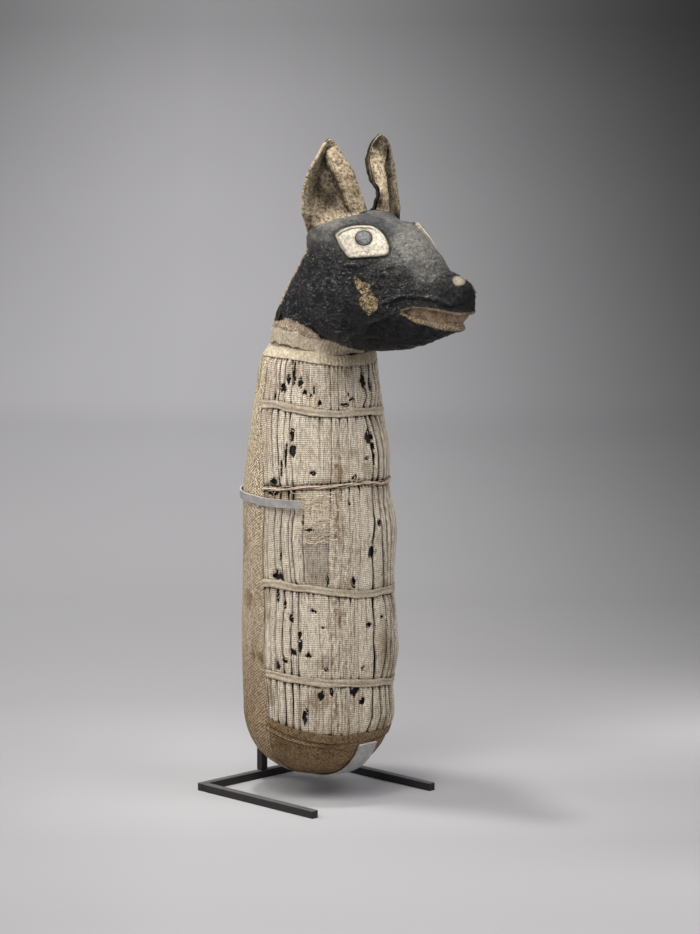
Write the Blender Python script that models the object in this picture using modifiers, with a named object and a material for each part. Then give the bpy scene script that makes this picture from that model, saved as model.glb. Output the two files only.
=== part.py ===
"""Dog mummy standing in a steel display mount.

Metres, +Z up. The animal faces -Y. The origin is on the floor at the foot of the upright post,
so the post runs up +Z and the bundle stands in front of it. Angles round the bundle are in
degrees from its front (-Y), positive towards +X, the animal's left.
"""
import math

import bmesh
import bpy
from mathutils import Matrix, Vector

# Fits between pieces
TOUCH_GAP = 0.0003
TIE_GAP = 0.0008
LAYER_GAP = 0.0009
SKIN_GAP = 0.0014
LIFT_CLEARANCE = 0.0004

# Display mount, made of square steel bar and thin strip
BAR = 0.00635
BAR_BEVEL = 0.0004
BASE_WIDTH = 0.1378
BASE_DEPTH = 0.1338
POST_CLEARANCE = 0.0022
POST_ABOVE_ARMS = 0.0035
CRADLE_WIDTH = 0.019
CRADLE_THICKNESS = 0.0015
CRADLE_BELOW_HEM = 0.0012
CRADLE_LEAVE_ANGLE = 33.0
BRACKET_LENGTH = 0.011
BRACKET_RISE = 0.0115
RETAINER_HEIGHT = 0.245
RETAINER_WIDTH = 0.00635
RETAINER_THICKNESS = 0.0012
RIGHT_RETAINER_END = 56.0
LEFT_RETAINER_END = 80.0
RETAINER_BEND_ANGLE = 158.0

# Linen bundle
BODY_BOTTOM = 0.0165
BODY_TOP = 0.364
BODY_RADIUS = 0.0613
BOTTOM_ROUND = 0.0585
BOTTOM_SQUARENESS = 2.25
BOTTOM_OPENING_ANGLE = 12.0
SKIN_THICKNESS = 0.0013
UNDER_THICKNESS = 0.0028
PACKING_THICKNESS = 0.016
DOG_BUNDLE_TOP_GAP = 0.055
RIB_RADIUS = 0.0045
RIB_BACK_OFFSET = 0.012
RIB_FOOT_SHARE = 0.14
RIB_HEAD_SHARE = 0.10
RIB_HEAD_GAP = 0.0010
PANEL_ANGLE = 91.5
SEAM_GAP_ANGLE = 0.6

# Share of the height above the rounded bottom, and share of the body radius there
BODY_PROFILE = [(0.0, 0.984), (0.12, 1.0), (0.40, 0.989), (0.60, 0.972), (0.70, 0.928),
                (0.765, 0.885), (0.834, 0.843), (0.90, 0.794), (0.965, 0.752), (1.0, 0.690)]

# How far the front swells or is drawn in: share of the body's height, and depth in metres
FRONT_SWELL = [(0.0, 0.0), (0.10, -0.0005), (0.155, 0.0005), (0.215, -0.0012), (0.30, 0.0026),
               (0.44, -0.0008), (0.58, 0.0019), (0.665, -0.0026), (0.76, 0.0), (0.86, -0.0012),
               (0.93, -0.0008), (1.0, 0.0)]
SWELL_CENTRE = 45.0
SWELL_HALF_ANGLE = 60.0
SWELL_RIGHT_SHARE = 0.3

# Ties: name, share of the body's height at the front, rise towards the sides, width, thickness
TIES = [("tie_band_1", 0.857, 0.0043, 0.0066, 0.0009), ("tie_band_3", 0.447, 0.0084, 0.0066, 0.0009),
        ("tie_band_4", 0.237, 0.0094, 0.0066, 0.0009)]
CORD_TIE_SHARE = 0.698
CORD_TIE_RISE = -0.0053
CORD_TIE_RADIUS = 0.0014
HEM_SHARE = 0.106
HEM_RISE = 0.0140
HEM_WIDTH = 0.0062
HEM_THICKNESS = 0.0010

# Pleated strips, by the angles of their edges: narrow, one wide, one stained, then the middle ones
NARROW_STRIPS = 5
MIDDLE_STRIPS = 8
WIDE_STRIP_START = 66.5
WIDE_STRIP_END = 36.0
STAINED_STRIP_END = 28.5
STRIP_GAP = 0.0006
STRIP_CROWN = 0.0005
STRIP_ROWS = 14

# Bands round the neck
NECK_BANDS = 3
NECK_BAND_WIDTH = 0.0074
NECK_BAND_GAP = 0.0004
NECK_BAND_THICKNESS = 0.0010
NECK_BAND_START = 0.0120
NECK_BAND_RISE = 0.0045
NECK_BAND_OPEN_ANGLE = 62.0
NECK_LEAN = 0.556
NECK_LENGTH = 0.072

# Head, measured from its back along the snout and up from the top of the body
HEAD_LENGTH = 0.1655
HEAD_BACK_FORWARD = 0.002
HEAD_WALL = 0.008
HEAD_BACK_ROUNDNESS = 3.1
NOSE_BLUNTNESS = 5.0
HEAD_SQUARENESS = 2.8
SNOUT_SQUARENESS = 2.15

# Share of the head's length, height of its top, height of its underside, half width
HEAD_PROFILE = [(0.0, 0.0930, 0.0210, 0.0445), (0.13, 0.1070, 0.0080, 0.0500),
                (0.31, 0.1105, 0.0050, 0.0505), (0.455, 0.1070, 0.0055, 0.0435),
                (0.574, 0.1000, 0.0065, 0.0335), (0.65, 0.0940, 0.0090, 0.0275),
                (0.716, 0.0860, 0.0120, 0.0235), (0.78, 0.0770, 0.0155, 0.0200),
                (0.83, 0.0715, 0.0180, 0.0177), (0.90, 0.0670, 0.0215, 0.0155),
                (0.96, 0.0665, 0.0260, 0.0145), (1.0, 0.0655, 0.0300, 0.0130)]

# Features of the face: place along the snout, height above the body's top
EYE_ALONG = 0.084
EYE_HEIGHT = 0.0905
EYE_SIDE = 0.0350
EYE_LENGTH = 0.0425
EYE_TALL = 0.0270
EYE_TURN = 36.0
EYE_UPWARD = 20.0
EYE_SLOPE = 8.0
EYE_POINT = 1.25
EYE_DEPTH = 0.036
IRIS_RADIUS = 0.0072
IRIS_FORWARD = 0.0005
IRIS_RAISE = 0.0022
PATCH_THICKNESS = 0.0012
NOSTRIL_ALONG = 0.1525
NOSTRIL_HEIGHT = 0.0640
NOSTRIL_RADIUS = 0.0042
NOSTRIL_SIDE = 0.0115
NOSTRIL_TILT = 55.0
NOSTRIL_DEPTH = 0.016
MOUTH_CORNER_ALONG = 0.1105
MOUTH_HEIGHT = 0.0370
MOUTH_DROP = 0.0075
MOUTH_GAPE = 0.0115
LIP_INSET = 0.0012

# Ears
EAR_INNER = (0.0021, 0.0407)
EAR_OUTER = (0.0472, 0.0214)
EAR_BASE_HEIGHT = 0.0960
EAR_TIP = (0.0270, 0.0410, 0.1665)
EAR_CUP = 0.0180
EAR_TAPER = 2.0
EAR_THICKNESS = 0.0020
EAR_TIP_SHARE = 0.10
FLAP_THICKNESS = 0.0014
FLAP_STEP = 0.0006
FLAP_MIDDLE = 0.545
FLAP_HALF_WIDTH = 0.375
FLAP_SPAN = (0.20, 0.90)

AXIS_Y = -(BAR / 2 + POST_CLEARANCE + BODY_RADIUS)
BODY_HEIGHT = BODY_TOP - BODY_BOTTOM
ROUND_TOP = BODY_BOTTOM + BOTTOM_ROUND
ROUND_RADIUS = BODY_RADIUS * BODY_PROFILE[0][1]
ROUND_ARC = math.pi / 4 * (ROUND_RADIUS + BOTTOM_ROUND)
WALL_HEIGHT = BODY_TOP - ROUND_TOP
NECK_RADIUS = BODY_RADIUS * BODY_PROFILE[-1][1]
HEAD_BACK_Y = AXIS_Y - HEAD_BACK_FORWARD
UNDER_LIFT = -(SKIN_THICKNESS + SKIN_GAP)
PACKING_LIFT = UNDER_LIFT - UNDER_THICKNESS - LAYER_GAP
DOG_LIFT = PACKING_LIFT - PACKING_THICKNESS - LAYER_GAP
BOWL_ROWS = 6
WALL_ROWS = 12
AROUND = 24
SKIN_BOWL_ROWS = 7
SKIN_WALL_ROWS = 12

for old in list(bpy.data.objects):
    bpy.data.objects.remove(old, do_unlink=True)

PARTS = bpy.data.collections.new("dog_mummy")
CUTTERS = bpy.data.collections.new("cutters")
bpy.context.scene.collection.children.link(PARTS)
bpy.context.scene.collection.children.link(CUTTERS)


def make_material(name, colour, roughness, metallic=0.0):
    material = bpy.data.materials.new(name)
    material.use_nodes = True
    shader = material.node_tree.nodes["Principled BSDF"]
    shader.inputs["Base Color"].default_value = (*colour, 1.0)
    shader.inputs["Roughness"].default_value = roughness
    shader.inputs["Metallic"].default_value = metallic
    return material


STEEL = make_material("black_steel", (0.018, 0.018, 0.020), 0.45, 0.6)
STRIP_METAL = make_material("grey_strip", (0.42, 0.42, 0.41), 0.40, 0.9)
CREAM_LINEN = make_material("cream_linen", (0.52, 0.43, 0.31), 0.9)
TAN_LINEN = make_material("tan_linen", (0.38, 0.27, 0.16), 0.92)
BROWN_LINEN = make_material("brown_linen", (0.24, 0.155, 0.085), 0.92)
DARK_LINEN = make_material("resin_linen", (0.022, 0.016, 0.012), 0.8)
PACKING_LINEN = make_material("packing_linen", (0.20, 0.14, 0.085), 0.95)
BONE = make_material("bone", (0.45, 0.36, 0.24), 0.8)
REED = make_material("palm_rib", (0.30, 0.21, 0.11), 0.8)
BLACK_PAINT = make_material("painted_linen", (0.030, 0.031, 0.034), 0.6)
EYE_LINEN = make_material("eye_linen", (0.56, 0.48, 0.36), 0.85)
IRIS_PAINT = make_material("iris_paint", (0.060, 0.062, 0.065), 0.5)


def smooth_step(value):
    value = min(max(value, 0.0), 1.0)
    return value * value * (3 - 2 * value)


def along(stations, place, column=1):
    """Value of a column of stations at a place, on a smooth curve through them."""
    xs = [row[0] for row in stations]
    ys = [row[column] for row in stations]
    place = min(max(place, xs[0]), xs[-1])
    i = max(k for k in range(len(xs) - 1) if xs[k] <= place)

    def slope(k):
        low, high = max(k - 1, 0), min(k + 1, len(xs) - 1)
        return (ys[high] - ys[low]) / (xs[high] - xs[low])

    step = xs[i + 1] - xs[i]
    t = (place - xs[i]) / step
    return ((2 * t ** 3 - 3 * t ** 2 + 1) * ys[i] + (t ** 3 - 2 * t ** 2 + t) * step * slope(i)
            + (3 * t ** 2 - 2 * t ** 3) * ys[i + 1] + (t ** 3 - t ** 2) * step * slope(i + 1))


def front_swell(angle, z):
    """How far the linen front swells past the round body at an angle and height."""
    away = (angle - SWELL_CENTRE + 180) % 360 - 180
    left = 1 - smooth_step((abs(away) - 20) / SWELL_HALF_ANGLE)
    wrapped = (angle + 180) % 360 - 180
    right = SWELL_RIGHT_SHARE * (1 - smooth_step((abs(wrapped) - 50) / 42))
    return max(left, right) * along(FRONT_SWELL, (z - BODY_BOTTOM) / BODY_HEIGHT)


def meridian(run, lift):
    """Radius and height on the body, a run above (or below) the top of its rounded bottom."""
    if run >= 0:
        share = run / WALL_HEIGHT
        return BODY_RADIUS * along(BODY_PROFILE, share) + lift, ROUND_TOP + run
    turn = math.pi / 2 * (1 + max(run, -ROUND_ARC) / ROUND_ARC)
    power = 2 / BOTTOM_SQUARENESS
    radius = (ROUND_RADIUS + lift) * math.sin(turn) ** power
    return radius, ROUND_TOP - (BOTTOM_ROUND + lift) * max(math.cos(turn), 0.0) ** power


def run_at(z):
    """The run along the body's side at a height."""
    if z >= ROUND_TOP:
        return z - ROUND_TOP
    drop = min((ROUND_TOP - z) / BOTTOM_ROUND, 1.0)
    turn = math.acos(drop ** (BOTTOM_SQUARENESS / 2))
    return -ROUND_ARC * (1 - turn / (math.pi / 2))


def polar(angle, radius, z, centre_y=AXIS_Y):
    turn = math.radians(angle)
    return Vector((radius * math.sin(turn), centre_y - radius * math.cos(turn), z))


def on_body(angle, run, lift=0.0):
    """A point on the wrapped body, lifted off it by a distance."""
    radius, z = meridian(run, lift)
    fade = smooth_step(radius / ROUND_RADIUS * 2 - 1)
    return polar(angle, radius + fade * front_swell(angle, z), z)


def on_neck(angle, z, lift):
    """A point on the body below its top, and on the leaning neck above it."""
    if z <= BODY_TOP:
        return on_body(angle, run_at(z), lift)
    return polar(angle, NECK_RADIUS + lift, z, AXIS_Y - NECK_LEAN * (z - BODY_TOP))


def sagging(front, rise, angle):
    """Height of a line that is at one height in front and rises towards the back."""
    return front + rise * (1 - math.cos(math.radians(angle)))


def share_height(share):
    return BODY_BOTTOM + share * BODY_HEIGHT


def add_object(name, mesh, material, collection=PARTS):
    obj = bpy.data.objects.new(name, mesh)
    collection.objects.link(obj)
    mesh.materials.clear()
    mesh.materials.append(material)
    mesh.shade_smooth()
    mesh.set_sharp_from_angle(angle=math.radians(40))
    if collection is CUTTERS:
        obj.hide_render = True
        obj.display_type = "WIRE"
    return obj


def finish_bmesh(name, bm):
    mesh = bpy.data.meshes.new(name)
    bm.to_mesh(mesh)
    bm.free()
    return mesh


def solidify(obj, thickness, offset=-1.0):
    modifier = obj.modifiers.new("thickness", "SOLIDIFY")
    modifier.thickness = thickness
    modifier.offset = offset
    modifier.use_even_offset = True
    return obj


def wrapped_sheet(name, place, across, up, thickness, material, offset=-1.0):
    """A sheet: a flat grid laid on a surface, place(u, v) with u and v from 0 to 1."""
    bm = bmesh.new()
    bmesh.ops.create_grid(bm, x_segments=across, y_segments=up, size=0.5)
    for vertex in bm.verts:
        vertex.co = place(vertex.co.x + 0.5, vertex.co.y + 0.5)
    return solidify(add_object(name, finish_bmesh(name, bm), material), thickness, offset)


def wrapped_ring(name, place, around, up, thickness, material, offset=1.0):
    """A closed ring: an open tube laid on a surface, place(angle, v) with v from 0 to 1."""
    bm = bmesh.new()
    bmesh.ops.create_cone(bm, cap_ends=False, segments=around, radius1=1, radius2=1, depth=1)
    if up > 1:
        uprights = [edge for edge in bm.edges if abs(edge.verts[0].co.z - edge.verts[1].co.z) > 0.5]
        bmesh.ops.subdivide_edges(bm, edges=uprights, cuts=up - 1)
    for vertex in bm.verts:
        angle = math.degrees(math.atan2(vertex.co.x, -vertex.co.y))
        vertex.co = place(angle, vertex.co.z + 0.5)
    return solidify(add_object(name, finish_bmesh(name, bm), material), thickness, offset)


def box(name, low, high, material, bevel=BAR_BEVEL):
    bm = bmesh.new()
    bmesh.ops.create_cube(bm, size=1.0)
    size = Vector(high) - Vector(low)
    centre = (Vector(high) + Vector(low)) / 2
    bmesh.ops.transform(bm, matrix=Matrix.Diagonal((*size, 1.0)), verts=bm.verts)
    obj = add_object(name, finish_bmesh(name, bm), material)
    obj.location = centre
    if bevel:
        edges = obj.modifiers.new("edges", "BEVEL")
        edges.width = bevel
        edges.segments = 1
    return obj


def cut(obj, cutter, operation="DIFFERENCE"):
    modifier = obj.modifiers.new("cut_" + cutter.name, "BOOLEAN")
    modifier.operation = operation
    modifier.object = cutter
    modifier.solver = "EXACT"
    return obj


def bowl_and_wall(share, low, high, bowl_rows=BOWL_ROWS, wall_rows=WALL_ROWS):
    """Run at a share of a sheet's rows, which are closer together on the rounded bottom."""
    row = share * (bowl_rows + wall_rows)
    if row < bowl_rows:
        return low * (1 - row / bowl_rows)
    return high * (row - bowl_rows) / wall_rows


def body_sphere(name, lift, top_run, open_top, material, collection=PARTS):
    """A closed form inside the body: a sphere whose rings are laid along the body's side."""
    bm = bmesh.new()
    rings = BOWL_ROWS + WALL_ROWS + 1
    bmesh.ops.create_uvsphere(bm, u_segments=AROUND, v_segments=rings, radius=1.0)
    for vertex in list(bm.verts):
        ring = round(math.acos(min(max(-vertex.co.z, -1.0), 1.0)) / math.pi * rings)
        if open_top and ring == rings:
            bm.verts.remove(vertex)
            continue
        run = bowl_and_wall(min(ring / (rings - 1), 1.0), -ROUND_ARC, top_run)
        angle = math.degrees(math.atan2(vertex.co.x, -vertex.co.y))
        vertex.co = on_body(angle, run, lift)
        if ring in (0, rings):
            vertex.co = Vector((0.0, AXIS_Y, vertex.co.z))
    return add_object(name, finish_bmesh(name, bm), material, collection)


# Display mount

def make_base():
    half = BASE_WIDTH / 2
    box("base_rear_bar", (-half, -BAR / 2, 0.0), (half, BAR / 2, BAR), STEEL)
    front = -(BASE_DEPTH - BAR / 2)
    for side, name in ((-1, "base_right_arm"), (1, "base_left_arm")):
        inner, outer = sorted((side * (half - BAR), side * half))
        box(name, (inner, front, 0.0), (outer, -BAR / 2 - TOUCH_GAP, BAR), STEEL)
    post_top = RETAINER_HEIGHT + RETAINER_WIDTH / 2 + POST_ABOVE_ARMS
    box("upright_post", (-BAR / 2, -BAR / 2, BAR + TOUCH_GAP), (BAR / 2, BAR / 2, post_top), STEEL)


def cradle_path():
    """The strip's line in the middle plane, front to back, as distance from the axis and height."""
    lip = run_at(hem_middle(0.0) - HEM_WIDTH / 2 - CRADLE_BELOW_HEM)
    front = [lip + (-ROUND_ARC - lip) * k / 10 for k in range(11)]
    points = [on_body(0.0, run, TOUCH_GAP) for run in front]
    leave = -ROUND_ARC * (1 - CRADLE_LEAVE_ANGLE / 90)
    points += [on_body(180.0, -ROUND_ARC + (leave + ROUND_ARC) * k / 3, TOUCH_GAP) for k in range(1, 4)]
    back_y = -BAR / 2 - TOUCH_GAP
    shelf_z = BODY_BOTTOM + BRACKET_RISE
    points.append(Vector((0.0, back_y - BRACKET_LENGTH, shelf_z)))
    points.append(Vector((0.0, back_y, shelf_z)))
    return points


def make_cradle():
    points = cradle_path()

    def place(u, v):
        index = round(v * (len(points) - 1))
        return points[index] + Vector(((0.5 - u) * CRADLE_WIDTH, 0.0, 0.0))

    wrapped_sheet("cradle_strip", place, 1, len(points) - 1, CRADLE_THICKNESS, STRIP_METAL, offset=1.0)
    shelf = points[-1].z - CRADLE_THICKNESS - TOUCH_GAP
    box("cradle_bracket", (-BAR / 2, points[-2].y, shelf - BAR * 0.75),
        (BAR / 2, -BAR / 2 - TOUCH_GAP, shelf), STEEL)


def retainer_radius(angle):
    """Inside radius of a retaining arm: past everything that rises through it."""
    steps = 40
    run = RETAINER_HEIGHT + RETAINER_WIDTH / 2 - ROUND_TOP
    axis = Vector((0.0, AXIS_Y))
    widest = max((on_body(angle, run * k / steps).xy - axis).length for k in range(steps + 1))
    thickest_tie = max(tie[4] for tie in TIES) + TIE_GAP
    over_ties = thickest_tie * (1 - smooth_step((abs(angle) - PANEL_ANGLE) / 4))
    return widest + over_ties + LIFT_CLEARANCE


def make_retainers():
    root_angle = 180 - math.degrees(math.asin((BAR / 2 + TOUCH_GAP) / BODY_RADIUS))
    for side, name, end_angle in ((-1, "retaining_arm_right", RIGHT_RETAINER_END),
                                  (1, "retaining_arm_left", LEFT_RETAINER_END)):
        def place(u, v):
            angle = root_angle + (end_angle - root_angle) * u
            bend = smooth_step((angle - RETAINER_BEND_ANGLE) / (root_angle - RETAINER_BEND_ANGLE))
            radius = retainer_radius(side * angle) + (POST_CLEARANCE + BAR / 2) * bend
            height = RETAINER_HEIGHT + (v - 0.5) * RETAINER_WIDTH
            point = polar(side * angle, radius, height)
            reach = BAR / 2 + TOUCH_GAP
            if abs(point.x) < reach + 1e-6 or u == 0.0:
                point.x = side * reach
            return point
        wrapped_sheet(name, place, 26, 1, RETAINER_THICKNESS, STRIP_METAL, offset=-float(side))


# Linen bundle

def make_wrappings():
    top = BODY_TOP - ROUND_TOP
    under = body_sphere("under_wrapping", UNDER_LIFT, top, True, DARK_LINEN)
    solidify(under, UNDER_THICKNESS)
    packing = body_sphere("linen_packing", PACKING_LIFT, top, False, PACKING_LINEN)
    cut(packing, body_sphere("dog_space", DOG_LIFT + LAYER_GAP, top + PACKING_THICKNESS, False,
                             PACKING_LINEN, CUTTERS))
    dog = body_sphere("dog_bundle", DOG_LIFT, top - DOG_BUNDLE_TOP_GAP, False, BONE)
    rib_y = AXIS_Y + RIB_BACK_OFFSET
    low = share_height(RIB_FOOT_SHARE)
    high = BODY_TOP + along(HEAD_PROFILE, RIB_HEAD_SHARE, 2) + HEAD_WALL - RIB_HEAD_GAP
    for name, radius, collection in (("palm_rib", RIB_RADIUS, PARTS),
                                     ("rib_hole", RIB_RADIUS + TOUCH_GAP, CUTTERS)):
        extra = 0.0 if collection is PARTS else TOUCH_GAP
        bm = bmesh.new()
        bmesh.ops.create_cone(bm, cap_ends=True, segments=12, radius1=radius, radius2=radius,
                              depth=high - low + 2 * extra)
        rod = add_object(name, finish_bmesh(name, bm), REED, collection)
        rod.location = (0.0, rib_y, (low + high) / 2)
        if collection is CUTTERS:
            cut(dog, rod)


def hem_middle(angle):
    return sagging(share_height(HEM_SHARE), HEM_RISE, angle)


def collar_line(angle):
    top = BODY_TOP - NECK_BAND_START + NECK_BAND_WIDTH / 2
    return min(sagging(top, NECK_BAND_RISE, angle), BODY_TOP - TOUCH_GAP)


def make_shroud():
    start = PANEL_ANGLE + SEAM_GAP_ANGLE
    bottom = -ROUND_ARC * (1 - BOTTOM_OPENING_ANGLE / 90)

    def place(u, v):
        angle = start + (360 - 2 * start) * u
        top = run_at(collar_line(angle))
        return on_body(angle, bowl_and_wall(v, bottom, top, SKIN_BOWL_ROWS, SKIN_WALL_ROWS))

    wrapped_sheet("back_shroud", place, 16, SKIN_BOWL_ROWS + SKIN_WALL_ROWS, SKIN_THICKNESS, TAN_LINEN)


def make_base_cap():
    bottom = -ROUND_ARC * (1 - BOTTOM_OPENING_ANGLE / 90)

    def place(u, v):
        angle = PANEL_ANGLE * (2 * u - 1)
        top = run_at(hem_middle(angle) - TOUCH_GAP)
        return on_body(angle, bottom + (top - bottom) * v)

    wrapped_sheet("base_cap", place, 16, SKIN_BOWL_ROWS, SKIN_THICKNESS, BROWN_LINEN)


def strip_edges():
    """Edges of the pleated strips round the front, from the animal's right to its left."""
    narrow = [PANEL_ANGLE - (PANEL_ANGLE - WIDE_STRIP_START) * k / NARROW_STRIPS
              for k in range(NARROW_STRIPS + 1)]
    right = [-edge for edge in narrow] + [-WIDE_STRIP_END, -STAINED_STRIP_END]
    middle = [-STAINED_STRIP_END + 2 * STAINED_STRIP_END * k / MIDDLE_STRIPS
              for k in range(1, MIDDLE_STRIPS)]
    return right + middle + [-edge for edge in reversed(right)]


def make_strips():
    edges = strip_edges()
    for number, (start, end) in enumerate(zip(edges, edges[1:]), start=1):
        margin = math.degrees(STRIP_GAP / 2 / BODY_RADIUS)
        across = 5 if end - start > 20 else 2 if end - start > 5.5 else 1

        def place(u, v):
            angle = start + margin + (end - start - 2 * margin) * u
            low = run_at(hem_middle(angle) + TOUCH_GAP)
            high = run_at(collar_line(angle))
            crown = STRIP_CROWN * (4 * u * (1 - u) - 1) if across > 1 else 0.0
            return on_body(angle, low + (high - low) * v, crown)

        thickness = SKIN_THICKNESS - STRIP_CROWN if across > 1 else SKIN_THICKNESS
        wrapped_sheet(f"pleat_strip_{number:02d}", place, across, STRIP_ROWS, thickness, CREAM_LINEN)


def make_ties():
    bands = [(name, share_height(share), rise, width, thickness)
             for name, share, rise, width, thickness in TIES]
    bands.append(("hem_band", share_height(HEM_SHARE), HEM_RISE, HEM_WIDTH, HEM_THICKNESS))
    for name, front, rise, width, thickness in bands:
        def place(u, v):
            angle = PANEL_ANGLE * (2 * u - 1)
            z = sagging(front, rise, angle) + (v - 0.5) * width
            return on_body(angle, run_at(z), TIE_GAP)
        colour = BROWN_LINEN if name == "hem_band" else CREAM_LINEN
        wrapped_sheet(name, place, 28, 1, thickness, colour, offset=1.0)
    make_cord_tie()


def make_cord_tie():
    """The second tie is a twisted cord, so it is round."""
    count = 32
    curve = bpy.data.curves.new("tie_cord_2", "CURVE")
    curve.dimensions = "3D"
    curve.bevel_depth = CORD_TIE_RADIUS
    curve.bevel_resolution = 1
    curve.use_fill_caps = True
    spline = curve.splines.new("POLY")
    spline.points.add(count - 1)
    for k, point in enumerate(spline.points):
        angle = (PANEL_ANGLE - 1) * (2 * k / (count - 1) - 1)
        z = sagging(share_height(CORD_TIE_SHARE), CORD_TIE_RISE, angle)
        point.co = (*on_body(angle, run_at(z), CORD_TIE_RADIUS + TIE_GAP), 1.0)
    curve.materials.append(CREAM_LINEN)
    PARTS.objects.link(bpy.data.objects.new("tie_cord_2", curve))


def make_neck_bands():
    for number in range(NECK_BANDS):
        front = BODY_TOP - NECK_BAND_START + number * (NECK_BAND_WIDTH + NECK_BAND_GAP)
        name = f"neck_band_{number + 1}"

        def at(angle, v):
            z = sagging(front, NECK_BAND_RISE, angle) + v * NECK_BAND_WIDTH
            return on_neck(angle, z, TIE_GAP)

        if number < NECK_BANDS - 1:
            wrapped_ring(name, at, 32, 2, NECK_BAND_THICKNESS, TAN_LINEN)
        else:
            span = 360 - 2 * NECK_BAND_OPEN_ANGLE
            wrapped_sheet(name, lambda u, v: at(NECK_BAND_OPEN_ANGLE + span * u, v), 22, 2,
                          NECK_BAND_THICKNESS, TAN_LINEN, offset=1.0)


# Head

def head_y(distance):
    return HEAD_BACK_Y - distance


def head_mesh(name, grow, around=24, rings=18):
    """The head's outer form grown by a distance: a sphere with its rings strung along the snout."""
    bm = bmesh.new()
    bmesh.ops.create_uvsphere(bm, u_segments=around, v_segments=rings, radius=1.0)
    half = HEAD_LENGTH / 2
    for vertex in bm.verts:
        reach = min(max(vertex.co.z, -1.0), 1.0)
        share = (reach + 1) / 2
        power = NOSE_BLUNTNESS if reach > 0 else HEAD_BACK_ROUNDNESS
        cap = max(1 - abs(reach) ** power, 0.0) ** (1 / power)
        top, low, wide = (along(HEAD_PROFILE, share, column) for column in (1, 2, 3))
        turn = math.atan2(vertex.co.y, vertex.co.x)
        across, upward = math.cos(turn), math.sin(turn)
        rounder = smooth_step((share - 0.4) / 0.3)
        squash = 2 / (HEAD_SQUARENESS + (SNOUT_SQUARENESS - HEAD_SQUARENESS) * rounder)
        x = math.copysign(abs(across) ** squash, across) * (wide + grow) * cap
        z = math.copysign(abs(upward) ** squash, upward) * ((top - low) / 2 + grow) * cap
        distance = half + reach * (half + grow)
        vertex.co = (x, head_y(distance), BODY_TOP + (top + low) / 2 + z)
    bmesh.ops.triangulate(bm, faces=bm.faces, quad_method="FIXED")
    return finish_bmesh(name, bm)


def head_cutter(name, grow):
    return add_object(name, head_mesh(name, grow), BLACK_PAINT, CUTTERS)


def neck_object(name, radius, low, high, collection):
    """A leaning round neck between two heights."""
    bm = bmesh.new()
    bmesh.ops.create_cone(bm, cap_ends=True, segments=32, radius1=radius, radius2=radius, depth=1.0)
    for vertex in bm.verts:
        z = low + (high - low) * (vertex.co.z + 0.5)
        shift = -NECK_LEAN * (z - BODY_TOP)
        vertex.co = (vertex.co.x, AXIS_Y + shift + vertex.co.y, z)
    return add_object(name, finish_bmesh(name, bm), BLACK_PAINT, collection)


def mouth_cutter(name, clearance):
    """A lens across the snout, widest at the nose end, that opens the jaws."""
    bm = bmesh.new()
    bmesh.ops.create_cone(bm, cap_ends=True, segments=20, radius1=1, radius2=1, depth=1.0)
    length = HEAD_LENGTH - MOUTH_CORNER_ALONG + 0.02
    for vertex in bm.verts:
        forward, upward, across = vertex.co.x, vertex.co.y, -vertex.co.z
        share = (forward + 1) / 2
        tall = (MOUTH_GAPE / 2 - clearance) * abs(upward) ** 0.6 * (1 if upward > 0 else -1)
        distance = MOUTH_CORNER_ALONG + clearance + share * length
        centre = MOUTH_HEIGHT - MOUTH_DROP * share
        vertex.co = (across * 0.1, head_y(distance), BODY_TOP + centre + tall)
    return add_object(name, finish_bmesh(name, bm), BLACK_PAINT, CUTTERS)


def make_head():
    cover = add_object("head_cover", head_mesh("head_cover", 0.0), BLACK_PAINT)
    base = BODY_TOP + TOUCH_GAP
    cut(cover, neck_object("neck_form", NECK_RADIUS, base, BODY_TOP + NECK_LENGTH, CUTTERS), "UNION")
    cut(cover, head_cutter("head_cavity", -HEAD_WALL))
    hollow = neck_object("neck_hollow", NECK_RADIUS - HEAD_WALL, base - 0.01, BODY_TOP + 0.04, CUTTERS)
    cut(cover, hollow)
    cut(cover, mouth_cutter("mouth_slot", 0.0))
    add_object("wrapped_skull", head_mesh("wrapped_skull", -HEAD_WALL - TOUCH_GAP), BONE)
    lining = add_object("mouth_lining", head_mesh("mouth_lining", -LIP_INSET), EYE_LINEN)
    cut(lining, mouth_cutter("mouth_fill", TOUCH_GAP), "INTERSECT")
    cut(lining, head_cutter("lining_back", -HEAD_WALL + TOUCH_GAP))


def patch_prism(name, outline, depth, turn, centre):
    """A solid outline pushed through the head: outline(angle) gives its forward and up reach."""
    bm = bmesh.new()
    bmesh.ops.create_cone(bm, cap_ends=True, segments=24, radius1=1, radius2=1, depth=1.0)
    for vertex in bm.verts:
        forward, up = outline(math.atan2(vertex.co.y, vertex.co.x))
        vertex.co = (-vertex.co.z * depth, -forward, up)
    bmesh.ops.transform(bm, matrix=Matrix.Translation(centre) @ turn, verts=bm.verts)
    return add_object(name, finish_bmesh(name, bm), EYE_LINEN, CUTTERS)


def make_patch(name, prism, inner, outer, material):
    """A thin patch on the head, between two grown forms of it."""
    patch = add_object(name, head_mesh(name, outer), material)
    cut(patch, prism, "INTERSECT")
    cut(patch, inner)


def almond(angle):
    """Outline of the eye patch: round above, flatter below, drawn out to the front and back."""
    reach, up = math.cos(angle), math.sin(angle)
    forward = math.copysign(abs(reach) ** 0.9, reach) * EYE_LENGTH / 2
    tall = math.copysign(abs(up) ** EYE_POINT, up) * EYE_TALL / 2
    return forward, tall


def disc(radius):
    return lambda angle: (radius * math.cos(angle), radius * math.sin(angle))


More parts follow.
